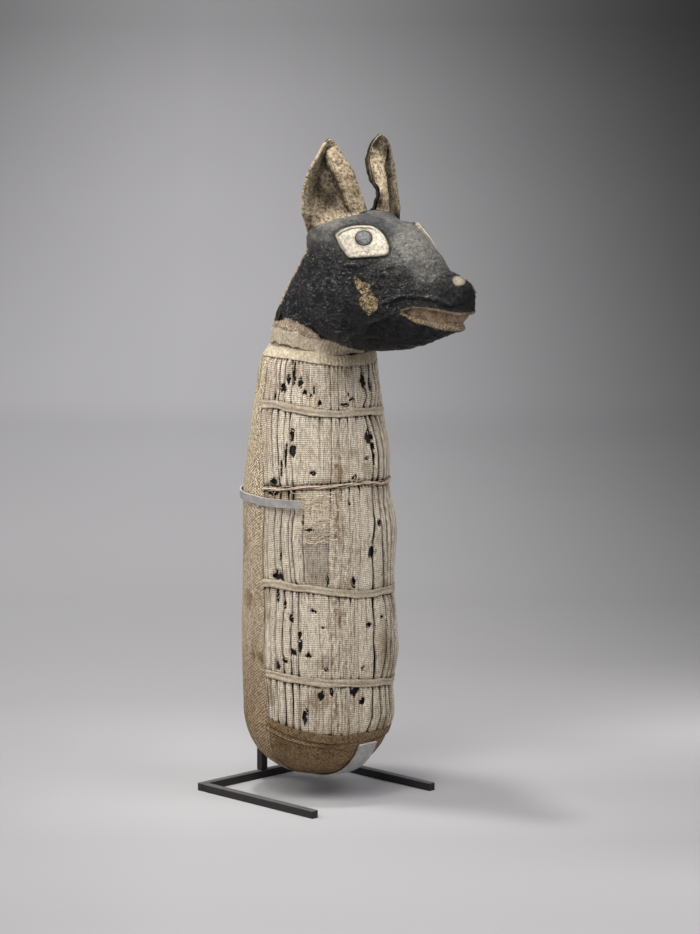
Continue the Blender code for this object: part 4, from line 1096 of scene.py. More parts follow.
def make_neck_bands():
    heights = [lambda a: line_height("collar", a) + 3.9 * MM,
               lambda a: line_height("neck_line", a) + 5.6 * MM,
               lambda a: sagging(0.3770, 0.0087, a)]
    for number, (half, thick, lift) in enumerate(NECK_BANDS):
        open_front = number == 2
        angles = np.linspace(112, 248, 220) if open_front else np.linspace(-180, 180, 720, endpoint=False)
        # Painted shadow and shade on the gathered right side of the neck: browner where the head's shadow
        # falls, with dark lines between the gathers
        gathered_in_head_shadow = (ease((angles + 50) / 8) * ease((60 - angles) / 20))[:, None]
        gather_shade_lines = np.sin(angles * 1.75 + 1.5 * noise(angles / 9, 0.5, 0.0, 58))
        gather_shade_lines = ease(0.5 + 0.5 * gather_shade_lines)[:, None]
        tone = (0.96 + gathered_in_head_shadow * (0.2 - 0.30 * gather_shade_lines)) * (0.1 if open_front else 1.0)
        band = band_mesh(f"linen_neck_band_{number + 1}", angles, heights[number], half * MM, thick * MM,
                         lift * MM, NECK_CLOTH, on_neck, waves=0.8 + 0.8 * (number > 0), seed=20 + number,
                         stain=0.16 * gathered_in_head_shadow + 0.8 * open_front, closed=not open_front, tone=tone)
        stand_for(f"neck_band_{number + 1}")


# Shroud, cap and inner cloth

SHEET_THICKNESS = 0.0005
SHEET_FOOT = -ROUND_ARC * 0.985
# The slit beside the shroud's right edge, from the neck down
SLIT_SIGHTS = [(268.0, 343), (264.0, 356), (261.0, 371), (258.8, 385)]
SLIT_LINE = np.array(sorted(tuple(reversed(seen_on_body(x, y))) for x, y in SLIT_SIGHTS))


def steady(value):
    """An edge, a top or a shade that is the same everywhere."""
    return lambda place, *_: np.full(np.shape(place), value)


def foot_fade(run):
    """1 up the bundle's side, 0 by the middle of its foot, where a sheet is gathered."""
    turn = math.pi / 2 * (1 + np.clip(run, -ROUND_ARC, 0.0) / ROUND_ARC)
    return ease((np.sin(turn) - 0.25) / 0.3)


def shell_mesh(name, start, end, low_run, top, material, lift, columns, rows, stain, tone, closed=False):
    """A sheet round part of the bundle. start and end give its side edges' angles at heights, and it runs
    from a place on the rounded bottom up to the height top(angle)."""
    share = np.linspace(0, 1, columns, endpoint=not closed)[None, :]
    height = np.linspace(0, 1, rows)[:, None]
    reach = float(run_at(min(float(top(0.0)), BODY_TOP)))
    guess = on_body(0.0, low_run + (reach - low_run) * height)[..., 2]
    angle = start(guess) + (end(guess) - start(guess)) * share
    top_z = top(angle)
    over = np.maximum(top_z - BODY_TOP, 0.0)
    high = run_at(np.minimum(top_z, BODY_TOP)) + over
    run = low_run + (high - low_run) * height
    flat = on_body(angle, np.minimum(run, WALL_HEIGHT))
    arc = arc_of(angle)
    raised = lift(angle, run, flat[..., 2], share)
    points = on_body(angle, np.minimum(run, WALL_HEIGHT), raised)
    neck = on_neck(angle, BODY_TOP + np.maximum(run - WALL_HEIGHT, 1e-6), raised)
    points = np.where((run > WALL_HEIGHT)[..., None], neck, points)
    edge = np.minimum(share, 1 - share) * arc_of(end(guess) - start(guess)) * np.ones_like(run)
    place = np.stack([0.6 * arc / MM, run / MM, edge / MM], -1)
    z = flat[..., 2]
    quads = grid_quads(rows, columns, closed_columns=closed)
    return cloth_object(name, points, quads, material, place, tone(angle, run, z), stain(angle, run, z))


def make_shroud():
    start = steady(PANEL_ANGLE - 1.8)

    def end(z):
        return 360 + edge_angle(0, z) + 0.5

    def side_distance(angle, z):
        """Distance from the sheet's nearest side edge."""
        near = np.minimum(np.abs(wrap(angle - start(z))), np.abs(wrap(angle - end(z))))
        return near * math.pi / 180 * BODY_RADIUS

    def upper(z):
        """1 where the sheet's side edges are folded in, 0 lower down."""
        return ease((z - 0.215) / 0.02)

    def lift(angle, run, z, share):
        arc = arc_of(angle)
        soft = 0.5 * MM * cloth_noise(arc, run, 24, 60, 71, 3)
        fine = 0.16 * MM * cloth_noise(arc, run, 4, 7, 72, 2)
        away = side_distance(angle, z)
        high = upper(z)
        fold = 0.65 * MM * ease(1 - away / (1.2 * MM)) + 0.45 * MM * high * ease(1 - away / (5 * MM))
        fold = fold - 0.6 * MM * high * bump(away - 5.6 * MM, 0.6 * MM) - 0.7 * MM * bump(away, 0.3 * MM)
        return 0.1 * MM + (soft + fine + fold) * foot_fade(run)

    def stain(angle, run, z):
        arc = arc_of(angle)
        low = 0.20 * ease((0.30 - z) / 0.12) + 0.50 * ease((0.170 - z) / 0.11)
        spots = 0.6 * ease(cloth_noise(arc, run, 13, 22, 73, 4) * 2.2 - 0.45)
        spots = spots * (0.35 + 0.65 * ease((0.23 - z) / 0.06))
        return np.clip(low + spots + 0.12 * cloth_noise(arc, run, 4, 30, 74, 2), 0, 1)

    def tone(angle, run, z):
        away = side_distance(angle, z)
        high = upper(z)
        base = 1.0 + 0.12 * cloth_noise(arc_of(angle), run, 30, 50, 75, 2)
        slit = np.interp(z, SLIT_LINE[:, 0], SLIT_LINE[:, 1])
        # Painted shade along the folded edge, in its crease and in the slit, with a lighter band on the fold
        gap = bump(arc_of(wrap(angle - slit)), 1.1 * MM) * ease((z - 0.326) / 0.004)
        fold = 0.12 * bump(away - 2.5 * MM, 2.2 * MM) - 0.35 * bump(away - 5.6 * MM, 0.5 * MM)
        return np.maximum(base + high * fold - 0.5 * bump(away, 0.4 * MM) - 0.85 * gap, 0.06)

    def top(angle):
        return line_height("collar", angle) + 1.5 * MM

    shroud = shell_mesh("linen_back_shroud", start, end, SHEET_FOOT, top, TAN, lift, 340, 460, stain, tone)
    thicken(shroud, SHEET_THICKNESS)
    stand_for("back_shroud")


def make_base_cap():
    def lift(angle, run, z, share):
        arc = arc_of(angle)
        soft = 0.5 * MM * cloth_noise(arc, run, 19, 17, 81, 3)
        below = hem_line(angle) - z
        fold = 0.7 * MM * bump(below - 7.3 * MM, 0.9 * MM) * ease((-angle - 30) / 20)
        step = 0.3 * MM * ease(1 - below / (7.5 * MM))
        return -0.25 * MM + foot_fade(run) * (soft + fold + step)

    def stain(angle, run, z):
        arc = arc_of(angle)
        spots = cloth_noise(arc, run, 14, 12, 83, 4)
        return np.clip(0.12 + 0.5 * ease(spots * 2 - 0.1) + 0.5 * ease((0.034 - z) / 0.016), 0, 1)

    def tone(angle, run, z):
        below = hem_line(angle) - z
        left = ease((-angle - 30) / 20)
        # Painted shade under the fold and under the hem band, and a painted highlight along the fold's top
        line = 0.55 * bump(below - 8.9 * MM, 0.55 * MM) * left + 0.5 * bump(below - 3.9 * MM, 0.8 * MM)
        painted_light = 0.35 * bump(below - 7.2 * MM, 0.5 * MM) * left
        return 1.0 - line + painted_light

    cap = shell_mesh("linen_base_cap", lambda z: edge_angle(0, z) - 2, steady(PANEL_ANGLE), SHEET_FOOT,
                     hem_line, BROWN, lift, 300, 150, stain, tone)
    thicken(cap, SHEET_THICKNESS)
    stand_for("base_cap")


def make_inner_cloth():
    def under(angle, run, z, share):
        return -3.0 * MM + 0.7 * MM * cloth_noise(arc_of(angle), run, 3.2, 26, 91)

    def wound(depth, seed):
        """The lift of bandages wound round at a depth."""
        def lift(angle, run, z, share):
            laps = run / (17 * MM) + angle / 360 + 0.25 * noise(angle / 40, run / 0.05, 0.0, seed)
            uneven = 0.4 * MM * fractal(angle / 9, run / (9 * MM), 0.0, seed, 2)
            return depth - 0.9 * MM * ease(np.abs(laps % 1 - 0.5) * 2) + uneven
        return lift

    for name, node, slot, material, lift, foot, top, grid, tone, thickness in (
            ("dark_under_wrapping", "under_wrapping", "resin_linen", DARK, under, -ROUND_ARC * 0.99,
             BODY_TOP, (300, 300), 0.0, 1.2 * MM),
            ("wound_packing", "linen_packing", "packing_linen", TAN, wound(-6.9 * MM, 95), SHEET_FOOT,
             BODY_TOP - 0.001, (180, 200), 0.8, 1.0 * MM),
            ("wound_dog_bundle", "dog_bundle", "bone", TAN, wound(-24.0 * MM, 97), SHEET_FOOT,
             BODY_TOP - 0.056, (180, 200), 0.8, 1.0 * MM)):
        piece = shell_mesh(name, steady(-180.0), steady(180.0), foot, steady(top), material, lift, *grid,
                           steady(0.0), steady(tone), closed=True)
        thicken(piece, thickness)
        stand_for(node)


# Head

SIDES = ((-1, "right"), (1, "left"))


def head_y(distance):
    return HEAD_BACK_Y - distance


def head_points(reach, turn, grow):
    """Points of the head: reach from -1 at its back to 1 at the nose, turn round the snout's line."""
    share = (reach + 1) / 2
    power = np.where(reach > 0, NOSE_BLUNTNESS, HEAD_BACK_ROUNDNESS)
    cap = np.maximum(1 - np.abs(reach) ** power, 0.0) ** (1 / power)
    top, low, wide = (along(HEAD_PROFILE, share, column) for column in (1, 2, 3))
    rounder = ease((share - 0.4) / 0.3)
    squash = 2 / (HEAD_SQUARENESS + (SNOUT_SQUARENESS - HEAD_SQUARENESS) * rounder)
    x = squared_off(np.cos(turn), squash) * (wide + grow) * cap
    z = squared_off(np.sin(turn), squash) * ((top - low) / 2 + grow) * cap
    distance = HEAD_LENGTH / 2 + reach * (HEAD_LENGTH / 2 + grow)
    x, y, z = np.broadcast_arrays(x, head_y(distance), BODY_TOP + (top + low) / 2 + z)
    return np.stack([x, y, z], -1)


def head_grid(grow, around, rings):
    reach = -np.cos(np.linspace(0, math.pi, rings))[:, None]
    return head_points(reach, full_turn(around), grow), grid_quads(rings, around, closed_columns=True)


def remeshed(parts, voxel, smooth_turns):
    """Points and faces of several closed meshes melted into one, smoothed."""
    bm = bmesh.new()
    for points, quads in parts:
        verts = [bm.verts.new(p) for p in points.reshape(-1, 3)]
        for quad in quads:
            try:
                bm.faces.new([verts[k] for k in quad])
            except ValueError:
                continue
    bmesh.ops.remove_doubles(bm, verts=bm.verts, dist=1e-6)
    bmesh.ops.holes_fill(bm, edges=bm.edges, sides=0)
    bmesh.ops.recalc_face_normals(bm, faces=bm.faces)
    mesh = bpy.data.meshes.new("melt")
    bm.to_mesh(mesh)
    bm.free()
    obj = add_object("melt", mesh)
    melt = obj.modifiers.new("melt", "REMESH")
    melt.mode = "VOXEL"
    melt.voxel_size = voxel
    calm = obj.modifiers.new("calm", "SMOOTH")
    calm.factor = 0.5
    calm.iterations = smooth_turns
    graph = bpy.context.evaluated_depsgraph_get()
    final = bpy.data.meshes.new_from_object(obj.evaluated_get(graph))
    bpy.data.objects.remove(obj)
    bpy.data.meshes.remove(mesh)
    return final


def mesh_arrays(mesh):
    points = np.zeros(len(mesh.vertices) * 3, np.float32)
    mesh.vertices.foreach_get("co", points)
    normals = np.zeros(len(mesh.vertices) * 3, np.float32)
    mesh.vertices.foreach_get("normal", normals)
    return points.reshape(-1, 3).astype(float), normals.reshape(-1, 3).astype(float)


MOUTH_CORNER = 0.1175
MOUTH_HEIGHT = 0.0370
MOUTH_DROP = 0.0075
MOUTH_GAPE = 0.0115


def mouth_distance(points):
    """1 at the lips' line, less inside the mouth, more outside, and the share of the mouth's length."""
    distance = HEAD_BACK_Y - points[:, 1]
    length = HEAD_LENGTH - MOUTH_CORNER + 0.02
    share = (distance - MOUTH_CORNER) / length
    centre = BODY_TOP + MOUTH_HEIGHT - MOUTH_DROP * share
    lens = np.sqrt(np.clip(1 - (2 * np.clip(share, 0, 1) - 1) ** 2, 0.02, 1.0))
    tall = MOUTH_GAPE / 2 * lens ** 0.6
    upright = np.abs(points[:, 2] - centre) / tall
    return np.hypot(upright, np.maximum(-share, 0) / 0.05), share


def neck_tube(lift, low, high, around=64, rows=16):
    angle = np.linspace(-180, 180, around, endpoint=False)[None, :]
    z = np.linspace(low, high, rows)[:, None]
    return neck_ring(angle, z, lift), grid_quads(rows, around, closed_columns=True)


# Places on the head by the pixels where they are seen

PAINT_EDGE_SIGHTS = [(276.5, 321.5), (288, 318), (298, 322.4), (308, 327), (318, 335), (325.5, 345),
                     (332, 348.5), (346, 350.5)]
CHEEK_LOSS_SIGHTS = [(354.1, 275.5), (362, 281), (370, 284.3), (371.6, 292.2), (378, 300.2),
                     (377.2, 308.2), (370, 315.4), (363.7, 310.6), (359.7, 301.8), (362, 293.8),
                     (355.7, 285.9)]
EYE_SIGHTS = [(335.3, 235.4), (340.4, 230.8), (348.6, 227.2), (357.8, 225.7), (370, 226), (377.1, 228.8),
              (382.8, 233.9), (386.8, 240.5), (389.1, 247.7), (387.9, 253.8), (383.8, 255.8),
              (376.1, 256.6), (365.9, 257.1), (355.7, 257.9), (349.1, 257.6), (344, 252.2),
              (339.4, 245.6), (336.8, 239.5)]
IRIS_CENTRE = (363.9, 238.7)
IRIS_HALF = (8.7, 7.7)
NOSTRIL_SIGHTS = [(452.5, 279), (455, 276.5), (460, 276.3), (464, 278), (465.5, 281.5), (464.5, 284.5),
                  (460, 286), (455.5, 286), (453, 283)]
GREY_TOP_SIGHTS = [(300, 236), (312, 240), (322, 245), (331, 237), (340, 226), (358, 221), (378, 224),
                   (389, 236), (393, 250), (400, 260), (408, 269), (418, 283), (425, 284), (432, 277),
                   (444, 271), (456, 262), (456, 190), (300, 190)]
RIDGE_SIGHTS = [[(370, 322.5), (383, 318.5), (391, 315), (396.5, 308.5)],
                [(383, 303), (392, 299), (403, 295.5), (419.5, 296), (438, 299), (455, 306)],
                [(338, 262), (352, 266), (366, 264)]]
# Bare linen along the back of the head's outline, seen as a bright line: a painted rim highlight
BACK_RIM_HIGHLIGHT_SIGHTS = [(306.5, 249), (298.0, 266), (289.0, 282), (280.5, 303)]
# How far the mirrored patches are moved to lie right on the left side
EYE_SHIFT = (0.0, -0.006, 0.0)
NOSTRIL_SHIFT = (0.006, 0.001, -0.007)
NOTCH_MIDDLE = (404, 213)
NOTCH_HALF = (11, 9)
# How far the back of the head is pushed out, below 0 drawn in, in millimetres, by row of the picture
BACK_FORM = [(212, 0), (222, 3.2), (232, 2.6), (238, 0), (244, -3.0), (250, -4.0), (256, -3.2),
             (262, -2.8), (275, -1.6), (290, 0)]
FOLD_SIGHTS = [[(429, 277.5), (437, 274.5), (446, 271)], [(392, 303), (403, 299.5), (420, 300), (436, 303)]]


def near_pixel(points, x, y, wide, tall):
    """1 at places seen at a pixel, fading around it."""
    away = (pixel_of(points) - np.array([x, y])) / np.array([wide, tall])
    return np.exp(-(away ** 2).sum(-1))


def line_distance(pixels, line):
    """Distance from places to a line through pixels."""
    line = np.array(line, float)
    nearest = np.full(len(pixels), 1e9)
    for start, end in zip(line[:-1], line[1:]):
        edge = end - start
        share = np.clip(((pixels - start) @ edge) / (edge @ edge), 0, 1)
        nearest = np.minimum(nearest, np.linalg.norm(pixels - start - share[:, None] * edge, axis=1))
    return nearest


def inside_outline(pixels, corners):
    """How far places are inside an outline, in pixels: below 0 outside it."""
    corners = np.array(corners)
    nearest = line_distance(pixels, np.concatenate([corners, corners[:1]]))
    crossings = np.zeros(len(pixels), int)
    for start, end in zip(corners, np.roll(corners, -1, 0)):
        edge = end - start
        spans = (start[1] > pixels[:, 1]) != (end[1] > pixels[:, 1])
        rise = edge[1] if abs(edge[1]) > 1e-9 else 1e-9
        crossings += spans & (pixels[:, 0] < start[0] + (pixels[:, 1] - start[1]) / rise * edge[0])
    return np.where(crossings % 2 == 1, nearest, -nearest)


def paint_edge_line():
    """The paint's lower edge: angle round the neck and height over the bundle's top."""
    line = []
    for x, y in PAINT_EDGE_SIGHTS:
        ray = pixel_ray(x, y)
        start = EYE_POINT - np.array([0.0, AXIS_Y, 0.0])
        lean = np.array([0.0, NECK_LEAN, 0.0])
        base = start + lean * (start[2] - BODY_TOP)
        step = ray + lean * ray[2]
        way = way_to_wall(base, step, NECK_RADIUS)
        place = base + step * way
        angle = math.degrees(math.atan2(place[0], -place[1]))
        line.append((-abs(angle), start[2] + ray[2] * way - BODY_TOP))
    return np.array(sorted(line))


def ridged(x, y, z, size, seed, octaves=3):
    """Sharp-crested noise from 0 to 1."""
    return np.maximum(1 - 2.2 * np.abs(fractal(x / size, y / size, z / size, seed, octaves)), 0) ** 2


def smooth_paint_and_sheen(points, normals, share, above, grey, toward):
    """How smooth and grey the paint is, from 0 to 1: partly a painted highlight, greyer where the surface
    faces up. grey is how far places are inside its outline.
    """
    x, y, z = points.T
    smooth = ease((normals[:, 2] - 0.12) / 0.45) * ease((above - 0.05) / 0.03)
    smooth = smooth + 0.45 * ease((share - 0.5) / 0.15) * ease((above - 0.062) / 0.02)
    smooth = np.clip(smooth + 0.4 * bump(share - 0.12, 0.1) * ease((above - 0.075) / 0.02), 0, 1)
    blotch = 6 * fractal(x / 0.009, y / 0.009, z / 0.006, 109, 3)
    smooth = np.maximum(0.6 * smooth, ease((grey + blotch) / 13 + 0.5) * toward)
    smooth = np.clip(smooth, 0, 1) * (1 - ease((share - 0.84) / 0.03))
    return smooth * (1 - 0.3 * ease((share - 0.66) / 0.1))


def with_notch(points, normals, x, share, above):
    """The head's points with the notch above the muzzle cut in and the nose's tip shaped."""
    notch = ease((share - 0.780) / 0.020) * (1 - ease((share - 0.808) / 0.044))
    notch = notch * ease((above - 0.055) / 0.012)
    notch = notch * (1 - ease((np.where(x > 0, x - 0.018, -x) - 0.010) / 0.010))
    far_top = near_pixel(points, *NOTCH_MIDDLE, *NOTCH_HALF) * ease(x / 0.006) * ease(normals[:, 2] / 0.2)
    tip = ease((share - 0.90) / 0.06)
    forward = 3.0 * bump(above - 0.045, 0.012) - 2.6 * ease((0.031 - above) / 0.005)
    down = 6.6 * notch + 5.0 * far_top
    return points + np.stack([0 * x, MM * tip * forward, -MM * down], -1)


def make_head():
    head = head_grid(-0.3 * MM, 96, 72)
    neck = neck_tube(-0.3 * MM, BODY_TOP - 0.003, BODY_TOP + 0.072)
    mesh = remeshed([head, neck], 0.85 * MM, 6)
    points, normals = mesh_arrays(mesh)
    x, y, z = points.T
    distance = HEAD_BACK_Y - y
    above = z - BODY_TOP
    share = distance / HEAD_LENGTH
    side_angle = np.degrees(np.arctan2(x, -(y - (AXIS_Y - NECK_LEAN * above))))
    sights = pixel_of(np.stack([-np.abs(x), y, z], -1))
    mirrored = -np.abs(normals[:, 0]) * np.sign(x * normals[:, 0])
    toward = np.stack([mirrored, normals[:, 1], normals[:, 2]], -1) @ BACK > 0
    grey = inside_outline(sights, GREY_TOP_SIGHTS)
    smooth_top_and_sheen = smooth_paint_and_sheen(points, normals, share, above, grey, toward)
    rough = 1 - 0.72 * smooth_top_and_sheen
    eye_edge = inside_outline(sights, EYE_SIGHTS)
    groove = bump(eye_edge + 1.2, 1.3) * toward
    ridge = sum(bump(line_distance(sights, line), 1.6) for line in RIDGE_SIGHTS) * toward
    dent = sum(bump(line_distance(sights, line), 1.3) for line in FOLD_SIGHTS) * toward
    low_part = ease((above - 0.004) / 0.006)
    lumps = 1.3 * MM * fractal(x / 0.024, y / 0.024, z / 0.024, 101, 3)
    bent = y + 3.0 * MM * noise(x / 0.012, y / 0.012, z / 0.012, 102)
    wrinkles = 0.75 * MM * fractal(x / 0.0065, bent / 0.0065, z / 0.0045, 103, 3)
    ridges = 1.15 * MM * ridged(x, bent + 0.6 * z, z * 1.5 - 0.4 * y, 0.0105, 105)
    fine = 0.55 * MM * ridged(x, bent + 0.5 * z, z * 1.4, 0.0045, 107, 2)
    mouth, mouth_share = mouth_distance(points)
    front = share > 0.5
    inside = ease((1.05 - mouth) / 0.35) * front * ease((mouth_share + 0.03) / 0.03)
    rim = bump(mouth - 1.28, 0.30) * front * ease((mouth_share + 0.09) / 0.06)
    top_side = ease((above - 0.05) / 0.015)
    muzzle = 1.5 * MM * bump(share - 0.905, 0.035)
    jowl = bump((above - 0.036) - (share - 0.62) * 0.10, 0.0028) * ease((0.70 - share) / 0.04)
    jowl = jowl * ease((share - 0.42) / 0.08)
    facing_back = np.abs(normals[:, 0]) * 0.713 + normals[:, 1] * 0.70
    back_form = np.interp(pixel_of(points)[:, 1], *zip(*BACK_FORM))
    back_form = MM * ease((facing_back - 0.15) / 0.45) * back_form
    throat = 3.4 * MM * ease((-normals[:, 2] - 0.45) / 0.35) * bump(share - 0.42, 0.20)
    cheek = inside_outline(pixel_of(points), CHEEK_LOSS_SIGHTS)
    cheek = np.where((x < 0) & (normals @ BACK > 0), cheek, -20.0)
    push = (lumps + (wrinkles + ridges + fine) * rough) * low_part
    push = push * (1 - 0.7 * inside) - 5.2 * MM * inside + 1.1 * MM * rim + muzzle * top_side
    push = push + 0.5 * MM * jowl + back_form + throat - 0.8 * MM * ease(cheek / 1.5)
    push = push - 1.0 * MM * groove + 1.6 * MM * ridge - 0.9 * MM * dent
    points = points + normals * push[:, None]
    points = with_notch(points, normals, x, share, above)
    mesh.vertices.foreach_set("co", points.astype(np.float32).ravel())
    line = paint_edge_line()
    paint_edge = (above - np.interp(-np.abs(side_angle), line[:, 0], line[:, 1])) / MM
    # Paint left off along the back outline: a painted rim highlight of bare linen
    rim_highlight_line = line_distance(pixel_of(points), BACK_RIM_HIGHLIGHT_SIGHTS) - 1.2
    paint_edge = np.where((x < 0) & (normals @ BACK > -0.1), np.minimum(paint_edge, rim_highlight_line), paint_edge)
    # Painted shade: darker under the jaw, at the nose, in the groove round the eye and in the folds
    jaw = ease((0.036 - 0.05 * (share - 0.7) - above) / 0.010) * ease((share - 0.36) / 0.14)
    nose = ease((share - 0.85) / 0.06) * ease((0.064 - above) / 0.008)
    painted_shade = np.clip(0.85 * jaw + 0.75 * nose + 0.9 * groove + 0.8 * dent, 0, 1)
    lip = np.clip(inside + ease((1.46 - mouth) / 0.2), 0, 1) * front
    lip = lip * ease((mouth_share + 0.065) / 0.03)
    crest_highlight = np.clip(1.1 * ridges / (1.15 * MM) + 0.9 * fine / (0.55 * MM) + 1.6 * ridge, 0, 2.0)
    values = {"smooth_top_and_sheen": smooth_top_and_sheen, "paint_edge": paint_edge, "cheek_loss": cheek, "lip": lip,
              "painted_shade": painted_shade, "crest_highlight": crest_highlight}
    for name, value in values.items():
        mesh.attributes.new(name, "FLOAT", "POINT").data.foreach_set("value", value.astype(np.float32))
    mesh.name = "painted_head_cover"
    mesh.shade_smooth()
    mesh.materials.clear()
    mesh.materials.append(HEAD_PAINT)
    obj = add_object("painted_head_cover", mesh)
    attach(obj, "mummy")
    stand_for("head_cover")
    return obj


def surface_tree(obj):
    graph = bpy.context.evaluated_depsgraph_get()
    return BVHTree.FromObject(obj, graph)


def closed_curve(corners, count):
    """Points evenly spaced along a smooth closed curve through corners."""
    corners = np.array(corners, float)
    length = np.linalg.norm(corners - np.roll(corners, 1, 0), axis=1)
    place = np.cumsum(length)
    fine = np.linspace(0, place[-1], count, endpoint=False)
    number = np.searchsorted(place, fine, side="right") % len(corners)
    t = ((fine - np.concatenate([[0], place[:-1]])[number]) / length[number])[:, None]
    before, start, end, after = (corners[(number + k) % len(corners)] for k in (-2, -1, 0, 1))
    return 0.5 * (2 * start + (end - before) * t + (2 * before - 5 * start + 4 * end - after) * t ** 2
                  + (3 * start - before - 3 * end + after) * t ** 3)


def head_hit(tree, x, y):
    """Where the head is seen at a pixel, and which way it faces there."""
    ray = Vector(pixel_ray(x, y)).normalized()
    place, normal, _, _ = tree.ray_cast(Vector(EYE_POINT), ray)
    if place is None:
        place, normal, _, _ = tree.find_nearest(Vector(EYE_POINT) + ray * (CAMERA_DISTANCE + 0.02))
    return np.array(place), np.array(normal)


def head_patch(name, tree, side, outline, rings, lift, material, node, fields, shift, even):
    """A patch of cloth or paint on the head, drawn by the pixels of its outline on the right side."""
    around = len(outline)
    middle = outline.mean(0)
    share = np.linspace(0.04, 1, rings)[:, None] * np.ones(around)
    pixels = middle + share[..., None] * (outline - middle)
    hits = [head_hit(tree, x, y) for x, y in pixels.reshape(-1, 2)]
    if side > 0:
        mirrored = [place * [-1, 1, 1] + shift for place, _ in hits]
        hits = [tree.find_nearest(Vector(place))[:2] for place in mirrored]
    places, normals = (np.array([list(hit[k]) for hit in hits]) for k in (0, 1))
    if side > 0 and even:
        u, v = (pixels - middle).reshape(-1, 2).T
        terms = np.stack([np.ones_like(u), u, v, u * u, u * v, v * v], 1)
        places = terms @ np.linalg.lstsq(terms, places, rcond=None)[0]
    mean = normals.mean(0)
    normals = 0.25 * normals + 0.75 * mean / np.linalg.norm(mean)
    across = (pixels - middle) * PIXEL
    raised = lift(share, across[..., 0], across[..., 1]).reshape(-1) + 1.0 * MM * (side > 0)
    points = places + normals * raised[:, None]
    rim = points[-around:] - normals[-around:] * (raised[-around:, None] + 1.2 * MM)
    flat = np.concatenate([points, rim, points[:around].mean(0)[None]])
    quads = grid_quads(rings + 1, around, closed_columns=True)
    centre = (rings + 1) * around
    caps = np.array([[centre, (2 * k + 2) % around, 2 * k + 1, 2 * k] for k in range(around // 2)])
    quads = np.concatenate([quads, caps])
    if side < 0:
        quads = quads[:, ::-1]
    place = np.concatenate([across / MM, (1 - share)[..., None] * 10], -1).reshape(-1, 3)
    values = {"place": np.concatenate([place, place[-around:], place[:1]])}
    for key, value in fields.items():
        value = (value(share, pixels[..., 0], pixels[..., 1]) * np.ones_like(share)).reshape(-1)
        values[key] = np.concatenate([value, value[-around:], value[:1]])
    patch = mesh_object(name, flat, quads, material, fields=values)
    stand_for(node)


def make_face(head):
    tree = surface_tree(head)
    eye = closed_curve(EYE_SIGHTS, 120)
    nostril = closed_curve(NOSTRIL_SIGHTS, 40)
    phi = full_turn(60).T
    iris = np.concatenate([np.cos(phi) * IRIS_HALF[0], -np.sin(phi) * IRIS_HALF[1]], 1) + IRIS_CENTRE

    def cloth_lift(share, across, down):
        ripple = 0.18 * MM * fractal(across / (5 * MM), down / (4 * MM), 0.0, 111, 2)
        return 1.15 * MM - 0.7 * MM * ease((share - 0.88) / 0.12) + ripple

    def eye_tone(share, x, y):
        inset = -np.abs(inside_outline(np.stack([x, y], -1).reshape(-1, 2), EYE_SIGHTS)).reshape(x.shape)
        upper = ease((237.5 - y + 0.25 * (x - 336)) / 3.0) * ease((380.0 - x) / 10.0)
        line = bump(inset + 2.6, 0.95) * upper
        stitches = bump(inset + 2.3, 0.8) * (1 - upper) * ease(np.sin((x + y) * 1.9) * 2)
        shadow = bump(np.hypot(x - IRIS_CENTRE[0], y - IRIS_CENTRE[1]) - 8.8, 0.9)
        tone = 1.06 - 0.95 * line - 0.5 * stitches - 0.45 * shadow - 0.5 * ease((share - 0.94) / 0.06)
        return np.maximum(tone, 0.05)

    def eye_stain(share, x, y):
        return np.clip(0.25 * fractal(x / 9, y / 6, 0.0, 113, 3) + 0.3 * ease((share - 0.84) / 0.16), 0, 1)

    def iris_lift(share, across, down):
        return 1.3 * MM + 0.8 * MM * (1 - share ** 2)

    def nostril_lift(share, across, down):
        return 0.9 * MM - 0.5 * MM * share ** 3

    eye_fields = {"tone": eye_tone, "stain": eye_stain}
    iris_fields = {"ring": lambda share, x, y: share}
    nostril_fields = {"tone": lambda share, x, y: 0.58 - 0.3 * share ** 4,
                      "stain": lambda share, x, y: 0.2 + 0.3 * share}
    for side, word in SIDES:
        head_patch(f"linen_eye_patch_{word}", tree, side, eye, 30, cloth_lift, EYE_CLOTH,
                   f"eye_patch_{word}", eye_fields, EYE_SHIFT, even=True)
        head_patch(f"painted_iris_{word}", tree, side, iris, 12, iris_lift, IRIS, f"iris_{word}",
                   iris_fields, EYE_SHIFT, even=True)
        head_patch(f"linen_nostril_patch_{word}", tree, side, nostril, 9, nostril_lift, EYE_CLOTH,
                   f"nostril_patch_{word}", nostril_fields, NOSTRIL_SHIFT, even=False)


def make_mouth():
    """The cloth seen between the lips: the head's form, drawn in, only where the mouth is open."""
    reach = np.linspace(0.28, 0.997, 90)[:, None]
    points = head_points(reach, full_turn(160), -2.6 * MM)
    flat = points.reshape(-1, 3)
    mouth, share = mouth_distance(flat)
    ripple = 0.5 * MM * fractal(flat[:, 0] / 0.004, flat[:, 1] / 0.006, flat[:, 2] / 0.002, 121, 3)
    centre = np.array([0.0, 0.0, BODY_TOP + 0.035])
    outward = flat - centre
    outward[:, 1] = 0
    outward /= np.linalg.norm(outward, axis=1)[:, None]
    flat = flat + outward * ripple[:, None]
    ok = ((mouth < 1.35) & (share > -0.02)).reshape(points.shape[:2])
    closed = np.concatenate([ok, ok[:, :1]], 1)
    keep = closed[:-1, :-1] & closed[1:, :-1] & closed[:-1, 1:] & closed[1:, 1:]
    quads = grid_quads(*points.shape[:2], keep=keep, closed_columns=True)
    cloth = mesh_object("linen_mouth_lining", flat, quads, MOUTH)
    thicken(cloth, 0.5 * MM, offset=0.0)
    stand_for("mouth_lining")


